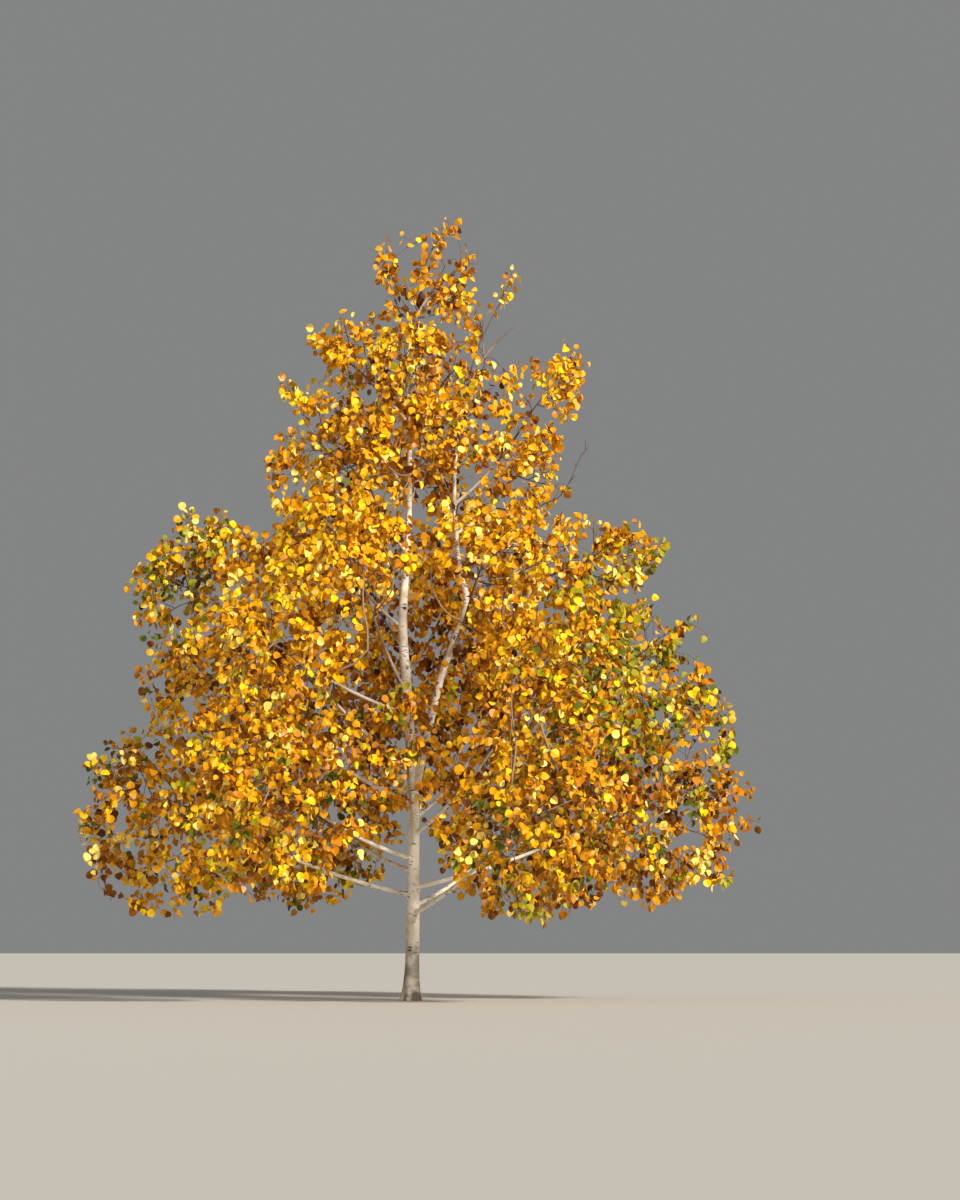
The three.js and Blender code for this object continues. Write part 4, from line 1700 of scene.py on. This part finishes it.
def new_finish(name: str) -> tuple[Material, NodeTree, Node, NodeSocket]:
    """Makes an empty material.

    Args:
        name: its name.

    Returns:
        The material, its tree, its shader and its object coordinates.
    """
    material = bpy.data.materials.new(name)
    material.use_nodes = True
    tree = material.node_tree
    shader = tree.nodes["Principled BSDF"]
    place = add_node(tree, "ShaderNodeTexCoord", {}).outputs["Object"]
    return material, tree, shader, place


@dataclass(frozen=True)
class Grain:
    """A fine pattern on a surface: its scale in a metre, its detail, and how it changes gloss and relief."""

    scale: float
    detail: float
    duller: Pair
    strength: float
    depth: float


LEAF_VEINS = Grain(240.0, 2.0, (-0.1, 0.14), 0.3, 0.0006)
CORK_PORES = Grain(330.0, 3.0, (-0.12, 0.12), 0.4, 0.0005)


def grained(name: str, colour: str, gloss: float, roughness: float, grain: Grain) -> Material:
    """A material of one even colour under a fine grain.

    Args:
        name: the material's name.
        colour: its screen colour.
        gloss: how strongly it mirrors light.
        roughness: how dull it is, between the grain's extremes.
        grain: the grain.

    Returns:
        The material.
    """
    material, tree, shader, place = new_finish(name)
    shader.inputs["Base Color"].default_value = linear(colour)
    shader.inputs["Specular IOR Level"].default_value = gloss
    pattern = {"Vector": place, "Scale": grain.scale, "Detail": grain.detail}
    height = add_node(tree, "ShaderNodeTexNoise", pattern).outputs["Fac"]
    low, high = grain.duller
    span = {"Value": height, "To Min": roughness + low, "To Max": roughness + high}
    tree.links.new(add_node(tree, "ShaderNodeMapRange", span).outputs[0], shader.inputs["Roughness"])
    relief = {"Height": height, "Strength": grain.strength, "Distance": grain.depth}
    tree.links.new(add_node(tree, "ShaderNodeBump", relief).outputs[0], shader.inputs["Normal"])
    return material


@dataclass(frozen=True)
class WoodFinish:
    """Thin bark on twigs, shoots and leaf stalks.

    An even, dull colour with cork pores 3 mm apart, which give the eye a fine, dry roughness.
    """

    label: str
    colour: str
    roughness: float
    gloss: float = 0.3

    def material(self) -> Material:
        """The finish as a material."""
        return grained(self.label, self.colour, self.gloss, self.roughness, CORK_PORES)


@dataclass(frozen=True)
class PoplarBark:
    """Smooth young poplar bark.

    It is cream-white with a chalky bloom and a buff cast in patches, ringed by short dark breathing pores,
    with black brows over the feet of boughs and grey, roughened cork near the ground. On limbs thinner than
    a finger it darkens to brown.
    """

    label: str
    bloom: str = "#F6EFE0"
    cast: str = "#E0D6BC"
    pores: str = "#4A3C2E"
    scars: str = "#17120E"
    cork: str = "#6F665A"
    young: str = "#7C6450"
    young_radius: Pair = (5.0, 9.5)
    pore_cells: Triple = (24.0, 24.0, 130.0)

    def material(self) -> Material:
        """The finish as a material that reads the mesh's scar and girth attributes.

        Returns:
            The material.
        """
        material, tree, shader, place = new_finish(self.label)
        scar = add_node(tree, "ShaderNodeAttribute", {}, attribute_name="scar").outputs["Fac"]
        girth = add_node(tree, "ShaderNodeAttribute", {}, attribute_name="girth").outputs["Fac"]
        height = add_node(tree, "ShaderNodeSeparateXYZ", {"Vector": place}).outputs["Z"]
        # Blotches about 70 mm across, bands of pores about 110 mm apart and a grain of about 6 mm
        sizes = {"patches": 14.0, "bands": 9.0, "grain": 160.0}
        noises = {}
        for name, size in sizes.items():
            pattern = {"Vector": place, "Scale": size, "Detail": 4.0}
            noises[name] = add_node(tree, "ShaderNodeTexNoise", pattern).outputs["Fac"]
        # Pores about 15 mm wide and 3 mm high
        flat = add_node(tree, "ShaderNodeMapping", {"Vector": place, "Scale": self.pore_cells}).outputs[0]
        cells = add_node(tree, "ShaderNodeTexVoronoi", {"Vector": flat, "Scale": 1.0}).outputs["Distance"]
        spans = {
            "pore": (cells, 0.32, 0.17, 0.0, 0.9),
            "band": (noises["bands"], 0.4, 0.56, 0.05, 1.0),
            "foot": (height, 0.42, 0.03, 0.0, 1.0),
            "cork": (noises["patches"], 0.35, 0.62, 0.25, 1.0),
            "cast": (noises["patches"], 0.42, 0.7, 0.0, 1.0),
            "thin": (girth, self.young_radius[1], self.young_radius[0], 0.0, 1.0),
            "gloss": (noises["grain"], 0.3, 0.7, 0.6, 0.85),
        }
        shares = {}
        for name, (value, low, high, start, end) in spans.items():
            span = {"Value": value, "From Min": low, "From Max": high, "To Min": start, "To Max": end}
            soft = add_node(tree, "ShaderNodeMapRange", span, interpolation_type="SMOOTHSTEP")
            shares[name] = soft.outputs[0]
        for name, first, second in (("pores", "pore", "band"), ("corky", "foot", "cork")):
            pair = {0: shares[first], 1: shares[second]}
            shares[name] = add_node(tree, "ShaderNodeMath", pair, operation="MULTIPLY").outputs[0]
        layers = (
            (shares["cast"], self.cast),
            (shares["corky"], self.cork),
            (shares["thin"], self.young),
            (shares["pores"], self.pores),
            (scar, self.scars),
        )
        colour = linear(self.bloom)
        for share, over in layers:
            blend = {0: share, 6: colour, 7: linear(over)}
            colour = add_node(tree, "ShaderNodeMix", blend, data_type="RGBA").outputs[2]
        tree.links.new(colour, shader.inputs["Base Color"])
        shader.inputs["Specular IOR Level"].default_value = 0.3
        tree.links.new(shares["gloss"], shader.inputs["Roughness"])
        marks = add_node(tree, "ShaderNodeMath", {0: shares["pores"], 1: scar}, operation="ADD").outputs[0]
        grain = {"Height": noises["grain"], "Strength": 0.5, "Distance": 0.0012}
        relief = add_node(tree, "ShaderNodeBump", grain).outputs[0]
        raised = {"Height": marks, "Strength": 0.6, "Distance": 0.001, "Normal": relief}
        tree.links.new(add_node(tree, "ShaderNodeBump", raised).outputs[0], shader.inputs["Normal"])
        return material


# The pieces


def seat_piece(piece: Object, nodes: Sequence[str], materials: Sequence[Material]) -> None:
    """Rides a finished piece on the plant's one body, in place of some nodes, and dresses it.

    Args:
        piece: the piece, at the origin.
        nodes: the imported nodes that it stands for.
        materials: its materials, in the order of its faces' material numbers.
    """
    piece.data.materials.clear()
    for material in materials:
        piece.data.materials.append(material)
    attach(piece, BODY)
    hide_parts(*nodes)
    LOG.info("%s: %d faces for %d nodes", piece.name, len(piece.data.polygons), len(nodes))


def skin(name: str, limb: Limb, sides: int) -> Object:
    """Draws a round skin over a limb, as a path with a girth at each of its points that is then made a mesh.

    Args:
        name: the new object's name.
        limb: the limb.
        sides: how many sides its skin has, an even number.

    Returns:
        The skin, closed at both ends.
    """
    bpy.ops.object.select_all(action="DESELECT")
    bpy.ops.curve.primitive_nurbs_path_add()
    path = bpy.context.active_object
    path.name = name
    curve = path.data
    curve.splines.clear()
    line = curve.splines.new("POLY")
    line.points.add(len(limb.points) - 1)
    places = np.hstack([limb.points * MM, np.ones((len(limb.points), 1))])
    line.points.foreach_set("co", places.astype(np.float32).ravel())
    line.points.foreach_set("radius", limb.radii.astype(np.float32))
    curve.dimensions = "3D"
    curve.twist_mode = "MINIMUM"
    curve.bevel_depth = MM
    curve.bevel_resolution = sides // 2 - 2
    curve.use_fill_caps = True
    bpy.ops.object.convert(target="MESH")
    bpy.ops.object.mode_set(mode="EDIT")
    bpy.ops.mesh.select_all(action="SELECT")
    bpy.ops.mesh.remove_doubles(threshold=WELD)
    bpy.ops.mesh.normals_make_consistent(inside=False)
    bpy.ops.mesh.select_all(action="DESELECT")
    bpy.ops.object.mode_set(mode="OBJECT")
    bpy.ops.object.shade_smooth()
    return bpy.context.active_object


def corners_of(piece: Object) -> Array:
    """A piece's corners in millimetres, one in each row.

    Args:
        piece: the piece, at the origin.

    Returns:
        The corners.
    """
    corners = np.empty(len(piece.data.vertices) * 3, np.float32)
    piece.data.vertices.foreach_get("co", corners)
    return corners.reshape(-1, 3).astype(float) / MM


def set_corners(piece: Object, corners: Array) -> None:
    """Moves a piece's corners to places in millimetres."""
    piece.data.vertices.foreach_set("co", (corners * MM).astype(np.float32).ravel())
    piece.data.update()


def set_measure(piece: Object, label: str, values: Array) -> None:
    """Writes a number at each corner of a piece, for its finish to read."""
    measure = piece.data.attributes.new(label, "FLOAT", "POINT")
    measure.data.foreach_set("value", values.astype(np.float32))


def nearest_on(limb: Limb, points: Array, batch: int = 2000) -> tuple[Array, Array]:
    """Finds the nearest places on a limb's line to some points.

    Args:
        limb: the limb.
        points: the points, one in each row.
        batch: how many are worked out at a time.

    Returns:
        The places, and the limb's radius at each.
    """
    runs, swells = np.diff(limb.points, axis=0), np.diff(limb.radii)
    places, radii = np.empty_like(points), np.empty(len(points))
    for start in range(0, len(points), batch):
        some = slice(start, start + batch)
        offsets = points[some, None, :] - limb.points[:-1]
        shares = np.clip((offsets * runs).sum(-1) / (runs**2).sum(1), 0, 1)
        away = ((offsets - shares[..., None] * runs) ** 2).sum(-1)
        best = away.argmin(1)
        share = shares[np.arange(len(best)), best]
        places[some] = limb.points[best] + runs[best] * share[:, None]
        radii[some] = limb.radii[best] + swells[best] * share
    return places, radii


@dataclass(frozen=True)
class Knot:
    """A place on a stem where a bough leaves it or once did: its height, its way in degrees and its size."""

    height: float
    azimuth: float
    size: float
    healed: bool = True


@dataclass
class StemSkin:
    """The bark of the trunk or of the second stem, with its root flare, collars, brows and healed knots."""

    host: Host
    knots: tuple[tuple[float, ...], ...]
    steps: int
    sides: int
    healed: tuple[Knot, ...]
    flared: bool = False
    flare_lobes: int = 5
    flare_swell: float = 0.55
    flare_lobe_depth: float = 0.2
    flare_fade: float = 70
    ripple: float = 0.7
    waves: tuple[Pair, ...] = ((0.011, 1.0), (0.05, 0.5))
    foot_rise: float = 4.5
    healed_rise: float = 2.0
    rise_spread: float = 340
    rise_squash: float = 0.8
    brow_above: float = 17
    brow_arch: float = 34
    brow_size: Pair = (15, 4.5)
    eye_size: Pair = (13, 10)
    eye_edge: float = 0.85
    scar_strength: Pair = (1.5, 0.25)

    def bulge(self, place: Array) -> float:
        """How far the bark bulges at a place."""
        return self.ripple * sum(share * noise.noise(Vector(place * scale)) for scale, share in self.waves)

    def build(self, plant: Plant) -> Object:
        """Draws the skin, shapes its relief and marks its scars.

        Args:
            plant: the plant, whose boughs tell where collars stand.

        Returns:
            The piece, not dressed yet.
        """
        limb = limb_through(self.knots, self.steps)
        piece = skin(f"{self.host.value}_bark", limb, self.sides)
        corners = corners_of(piece)
        middles, radii = nearest_on(limb, corners)
        outward = corners - middles
        heights = corners[:, 2]
        turns = np.arctan2(outward[:, 1], outward[:, 0])
        if self.flared:
            lobes = self.flare_swell + self.flare_lobe_depth * np.cos(self.flare_lobes * (turns - math.pi))
            outward *= (1 + np.exp(-heights / self.flare_fade) * lobes)[:, None]
        ways = unit(outward)
        rise = np.array([self.bulge(place) for place in corners])
        scar = np.zeros(len(corners))
        feet = [
            Knot(mass.leaves, math.degrees(math.atan2(mass.middle[1], mass.middle[0])), 1.0, False)
            for mass in plant.masses
            if mass.host is self.host and mass.tier.bough is not None
        ]
        for knot in (*feet, *self.healed):
            centre = limb.at_height(knot.height)
            turn = math.radians(knot.azimuth)
            radius = float(np.interp(knot.height, limb.points[:, 2], limb.radii))
            apart = np.angle(np.exp(1j * (turns - turn))) * radius / knot.size
            above = (heights - centre[2]) / knot.size
            swell = np.exp(-(apart**2 + (above * self.rise_squash) ** 2) / self.rise_spread)
            rise += swell * (self.healed_rise if knot.healed else self.foot_rise) * knot.size
            width, thickness = self.brow_size
            under = above - self.brow_above + apart**2 / self.brow_arch
            brow = np.exp(-((under / thickness) ** 2) - (apart / width) ** 2)
            off = np.hypot(apart / self.eye_size[0], above / self.eye_size[1])
            eye = np.exp(-((off / self.eye_edge) ** 4)) if knot.healed else 0
            scar = np.maximum(scar, np.maximum(brow, eye))
        flat = (heights < 0.5) & self.flared
        corners = middles + outward + ways * rise[:, None] * np.where(flat, 0, 1)[:, None]
        if self.flared:
            corners[:, 2] = np.maximum(corners[:, 2], 0)
        set_corners(piece, corners)
        set_measure(piece, "scar", np.clip(scar * self.scar_strength[0] - self.scar_strength[1], 0, 1))
        set_measure(piece, "girth", radii)
        return piece


@dataclass
class BoughSkins:
    """The bark of all boughs and of the stems that go on from them into the masses, each in one sweep."""

    spacing: float = 16
    sides: int = 12
    collar: float = 0.45
    collar_fade: float = 24
    relief: float = 0.06
    relief_scale: float = 0.03
    taper_share: float = 0.4
    taper_bend: float = 0.7
    tip_radius: float = 2.0

    def line_of(self, mass: Mass) -> Limb:
        """Draws the bough and the stem of a mass as one line with points close together.

        Args:
            mass: the mass.

        Returns:
            The line, along the same bends as theirs.
        """
        points, radii = [], []
        for limb in [mass.bough, mass.stem] if mass.bough else [mass.stem]:
            start, end = limb.points[0], limb.points[-1]
            steps = max(int(np.linalg.norm(end - start) / self.spacing), 4)
            t = 1 / (len(limb.points) - 1)
            bend = (limb.points[1] - (1 - t) ** 2 * start - t**2 * end) / (2 * t * (1 - t))
            first = 1 if points else 0
            girths = np.interp(np.linspace(0, 1, steps + 1), np.linspace(0, 1, len(limb.radii)), limb.radii)
            points.append(on_bend(start, bend, end, steps)[first:])
            radii.append(girths[first:])
        return Limb(np.concatenate(points), np.concatenate(radii))

    def build(self, plant: Plant) -> Object:
        """Draws every bough's skin with its collar, and joins them.

        Args:
            plant: the plant.

        Returns:
            The piece, not dressed yet.
        """
        skins, girths = [], []
        for mass in plant.masses:
            limb = self.line_of(mass)
            runs = np.linalg.norm(np.diff(limb.points, axis=0), axis=1)
            along = np.concatenate([[0], np.cumsum(runs)])
            at_foot = mass.tier.bough is not None
            swell = 1 + self.collar * np.exp(-along / self.collar_fade) if at_foot else np.ones(len(along))
            share = along / along[-1]
            thinning = np.minimum(1, (1 - share) / self.taper_share)
            radii = np.maximum(limb.radii * swell * thinning**self.taper_bend, self.tip_radius)
            piece = skin(f"limb_{mass.name}", Limb(limb.points, radii), self.sides)
            corners = corners_of(piece)
            middles, near = nearest_on(Limb(limb.points, radii), corners)
            waves = np.array([noise.noise(Vector(place * self.relief_scale)) for place in corners])
            set_corners(piece, corners + unit(corners - middles) * (waves * self.relief * near)[:, None])
            set_measure(piece, "girth", near)
            set_measure(piece, "scar", np.zeros(len(corners)))
            skins.append(piece)
        bpy.ops.object.select_all(action="DESELECT")
        for piece in skins:
            piece.select_set(True)
        bpy.context.view_layer.objects.active = skins[0]
        bpy.ops.object.join()
        whole = bpy.context.active_object
        whole.name = "boughs_bark"
        return whole


@dataclass
class TwigSkins:
    """The twigs that the source's rule grows, and the shoots that grow on from them."""

    twig_sides: int = 6
    shoot_sides: int = 3

    def twigs(self, foliage: Foliage) -> Object:
        """The thicker twigs and the branchlets, as one piece."""
        twigs = [twig for mass in foliage.plant.masses for twig in mass.twigs]
        return self.piece("twigs", [*twigs, *foliage.branchlets], self.twig_sides)

    def shoots(self, foliage: Foliage) -> Object:
        """The thin shoots, as one piece."""
        return self.piece("shoots", [shoot.line for shoot in foliage.shoots], self.shoot_sides)

    def piece(self, name: str, limbs: Sequence[Limb], sides: int) -> Object:
        """Draws some thin limbs as one piece of tubes.

        Args:
            name: the piece's name.
            limbs: the limbs.
            sides: how many sides their tubes have.

        Returns:
            The piece, not dressed yet.
        """
        by_length: dict[int, list[Limb]] = {}
        for limb in limbs:
            by_length.setdefault(len(limb.points), []).append(limb)
        parts = []
        for _, alike in sorted(by_length.items()):
            lines, radii = np.array([limb.points for limb in alike]), np.array([limb.radii for limb in alike])
            parts.append(tubes(lines, radii, sides))
        return mesh_piece(name, *joined(parts))


@dataclass
class LeafMeshes:
    """The leaves as closed blades that are thickest along the midrib, and their stalks."""

    thickness: float = 0.03
    stalk_radius: float = 1.1
    # Half of a round leaf with a short tip, from the stalk to the tip: across and along, in leaf lengths
    half: tuple[Pair, ...] = ((0.27, 0.02), (0.5, 0.23), (0.5, 0.56), (0.27, 0.85))
    rib: float = 0.42
    curl_from: float = 0.35
    curl: float = 0.6
    stalk_sunk: float = 0.12

    def pattern(self) -> tuple[Array, Array]:
        """One flat leaf's corners, with their side of the blade in the third column, and its triangles.

        The rim comes first, from the stalk round the right side and the tip, then the middle of the midrib on
        the face and on the underside.

        Returns:
            The corners and the triangles.
        """
        right = [(x, y, 0) for x, y in self.half]
        left = [(-x, y, 0) for x, y in reversed(self.half)]
        rim = [(0, 0, 0), *right, (0, 1, 0), *left]
        count = len(rim)
        upper = [(i, (i + 1) % count, count) for i in range(count)]
        lower = [((i + 1) % count, i, count + 1) for i in range(count)]
        return np.array([*rim, (0, self.rib, 1), (0, self.rib, -1)], float), np.array(upper + lower)

    def blades(self, name: str, leaves: Sequence[Leaf]) -> Object:
        """Some leaves as one piece, with faces in material 0 and undersides in material 1.

        Args:
            name: the piece's name.
            leaves: the leaves.

        Returns:
            The piece, not dressed yet.
        """
        shape, faces = self.pattern()
        along, normal = np.array([leaf.blade for leaf in leaves]), np.array([leaf.normal for leaf in leaves])
        bases, sizes = np.array([leaf.base for leaf in leaves]), np.array([leaf.size for leaf in leaves])
        fold, curl, twist = np.array([leaf.bends for leaf in leaves]).T[:, :, None]
        x, y, side = shape.T[:, None, :]
        lift = fold * np.abs(x) + curl * (y - self.curl_from) ** 2 * self.curl + twist * x * (y - 0.5)
        lift = lift + side * self.thickness / 2
        local = x[..., None] * np.cross(along, normal)[:, None] + y[..., None] * along[:, None]
        local = local + lift[..., None] * normal[:, None]
        corners = bases[:, None] + sizes[:, None, None] * local
        offsets = (np.arange(len(leaves)) * len(shape))[:, None, None]
        piece = mesh_piece(name, corners.reshape(-1, 3), (faces[None] + offsets).reshape(-1, 3))
        mesh = piece.data
        half = len(faces) // 2
        kinds = np.tile(np.repeat([0, 1], half), len(leaves)).astype(np.int32)
        mesh.polygons.foreach_set("material_index", kinds)
        ends = np.empty(len(mesh.edges) * 2, np.int32)
        mesh.edges.foreach_get("vertices", ends)
        ends = np.sort(ends.reshape(-1, 2) % len(shape), axis=1)
        rim = len(shape) - 2
        on_rim = ends[:, 1] < rim
        on_rib = (ends[:, 1] >= rim) & np.isin(ends[:, 0], (0, rim // 2))
        sharp = mesh.attributes.new("sharp_edge", "BOOLEAN", "EDGE")
        sharp.data.foreach_set("value", on_rim | on_rib)
        return piece

    def stalks(self, leaves: Sequence[Leaf]) -> Object:
        """All leaf stalks as one piece: slim three-sided spikes from the shoot into the blade.

        Args:
            leaves: all leaves.

        Returns:
            The piece, not dressed yet.
        """
        feet, tips = np.array([leaf.foot for leaf in leaves]), blade_points(leaves, self.stalk_sunk)
        ahead = unit(tips - feet)
        side = unit(np.cross(ahead, np.array([leaf.normal for leaf in leaves])))
        up = np.cross(ahead, side)
        turns = np.arange(3)[:, None, None] * 2 * math.pi / 3
        rings = feet + self.stalk_radius * (np.cos(turns) * side + np.sin(turns) * up)
        corners = np.concatenate([rings, tips[None]]).transpose(1, 0, 2).reshape(-1, 3)
        spike = np.array([(0, 2, 1), (0, 1, 3), (1, 2, 3), (2, 0, 3)])
        faces = (spike[None] + 4 * np.arange(len(feet))[:, None, None]).reshape(-1, 3)
        return mesh_piece("leaf_stalks", corners, faces)


# The studio


@dataclass
class Studio:
    """A plain pale floor, soft light and the camera that sees the plant as the photograph does."""

    camera_place: Triple = (0.34, -17.0, 0.3)
    aim: Triple = (0.34, 0.0, 2.0)
    lens: float = 102
    sensor: float = 36
    far_end: float = 200
    crown_middle: Triple = (0.3, 0.0, 2.1)
    key_place: Triple = (7.5, -9.5, 8.0)
    key_energy: float = 4.9
    key_angle: float = 7
    fill_place: Triple = (-9.0, -6.0, 4.0)
    fill_energy: float = 40
    fill_size: float = 6.0
    surround: str = "#C3C4C4"
    surround_strength: float = 0.42
    floor_size: float = 120
    floor_colour: str = "#CFCDC8"

    def set_up(self) -> None:
        """Makes the floor, the lights and the camera."""
        bpy.context.scene.view_settings.view_transform = "Standard"
        self.lay_floor()
        self.hang_lights()
        self.place_camera()

    def lay_floor(self) -> None:
        """A wide matt floor, painted a warm pale grey."""
        bpy.ops.mesh.primitive_plane_add(size=self.floor_size)
        floor = bpy.context.active_object
        floor.name = "floor"
        material, tree, shader, place = new_finish("matt_floor_paint")
        grain = add_node(tree, "ShaderNodeTexNoise", {"Vector": place, "Scale": 6.0}).outputs["Fac"]
        span = {"Value": grain, "To Min": 0.8, "To Max": 0.95}
        tree.links.new(add_node(tree, "ShaderNodeMapRange", span).outputs[0], shader.inputs["Roughness"])
        shader.inputs["Base Color"].default_value = linear(self.floor_colour)
        floor.data.materials.append(material)
        floor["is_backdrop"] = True

    def aimed(self, item: Object, target: Triple) -> None:
        """Turns a lamp or the camera towards a point."""
        way = Vector(target) - item.location
        item.rotation_euler = way.to_track_quat("-Z", "Y").to_euler()

    def hang_lamp(self, kind: str, name: str, place: Triple, energy: float, colour: str) -> Light:
        """Hangs a lamp that shines on the crown.

        Args:
            kind: its kind.
            name: its name.
            place: where it hangs.
            energy: how bright it is.
            colour: its screen colour.

        Returns:
            The lamp's own settings.
        """
        bpy.ops.object.light_add(type=kind, location=place)
        lamp = bpy.context.active_object
        lamp.name = name
        lamp.data.energy = energy
        lamp.data.color = linear(colour)[:3]
        self.aimed(lamp, self.crown_middle)
        return lamp.data

    def hang_lights(self) -> None:
        """A soft key light from the right, a weak fill from the left and an even surround."""
        key = self.hang_lamp("SUN", "key_light", self.key_place, self.key_energy, "#FFF6E8")
        key.angle = math.radians(self.key_angle)
        fill = self.hang_lamp("AREA", "fill_light", self.fill_place, self.fill_energy, "#F4F7FF")
        fill.size = self.fill_size
        world = bpy.data.worlds.new("studio_surround")
        world.use_nodes = True
        surround = world.node_tree.nodes["Background"]
        surround.inputs["Color"].default_value = linear(self.surround)
        surround.inputs["Strength"].default_value = self.surround_strength
        bpy.context.scene.world = world

    def place_camera(self) -> None:
        """The camera: low, far off and looking slightly up."""
        bpy.ops.object.camera_add(location=self.camera_place)
        camera = bpy.context.active_object
        camera.name = "camera"
        camera.data.lens = self.lens
        camera.data.sensor_width = self.sensor
        camera.data.clip_end = self.far_end
        self.aimed(camera, self.aim)
        bpy.context.scene.camera = camera


# Healed knots: height, azimuth and size
HEALED_ON_TRUNK = (
    Knot(250, 250, 0.9),
    Knot(1330, 283, 0.8),
    Knot(1480, 246, 0.6),
    Knot(1655, 292, 0.7),
    Knot(1958, 296, 1.15),
    Knot(2110, 252, 0.55),
    Knot(350, 40, 0.9),
    Knot(1250, 140, 0.7),
    Knot(2050, 80, 0.6),
)
HEALED_ON_SECOND_STEM = (
    Knot(1390, 275, 0.6),
    Knot(1540, 240, 0.5),
    Knot(1800, 262, 0.6),
    Knot(2060, 285, 0.5),
    Knot(1450, 100, 0.6),
)


def main() -> None:
    """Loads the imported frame, grows the plant and dresses it, piece by piece."""
    logging.basicConfig(level=logging.INFO, format="%(name)s: %(message)s")
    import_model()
    cad_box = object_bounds()
    plant = Plant()
    foliage = Foliage(plant, np.array(cad_box) / MM)
    foliage.grow()
    LOG.info("grown: %d shoots, %d leaves", len(foliage.shoots), len(foliage.leaves))
    boughs = [f"bough_{mass.name}" for mass in plant.masses if mass.bough]
    masses = [f"foliage_{mass.name}" for mass in plant.masses]
    bark = PoplarBark("poplar_bark").material()
    trunk = StemSkin(Host.TRUNK, TRUNK_KNOTS, steps=560, sides=36, healed=HEALED_ON_TRUNK, flared=True)
    seat_piece(trunk.build(plant), ["trunk"], [bark])
    second = StemSkin(Host.SECOND_STEM, SECOND_STEM_KNOTS, steps=220, sides=28, healed=HEALED_ON_SECOND_STEM)
    seat_piece(second.build(plant), ["second_stem"], [bark])
    seat_piece(BoughSkins().build(plant), boughs, [PoplarBark("young_poplar_bark").material()])
    twig_skins = TwigSkins()
    twig_bark = WoodFinish("two_year_twig_bark", "#93806C", roughness=0.7).material()
    seat_piece(twig_skins.twigs(foliage), masses, [twig_bark])
    shoot_bark = WoodFinish("new_shoot_bark", "#6A4C38", roughness=0.55).material()
    seat_piece(twig_skins.shoots(foliage), masses, [shoot_bark])
    meshes = LeafMeshes()
    stalk_skin = WoodFinish("leaf_stalk_skin", "#C08A2C", roughness=0.5).material()
    seat_piece(meshes.stalks(foliage.leaves), masses, [stalk_skin])
    for tint in Tint:
        alike = [leaf for leaf in foliage.leaves if leaf.tint is tint]
        piece = meshes.blades(f"leaves_{tint.value.label}", alike)
        seat_piece(piece, masses, tint.value.materials())
    Studio().set_up()


if __name__ == "__main__":
    main()
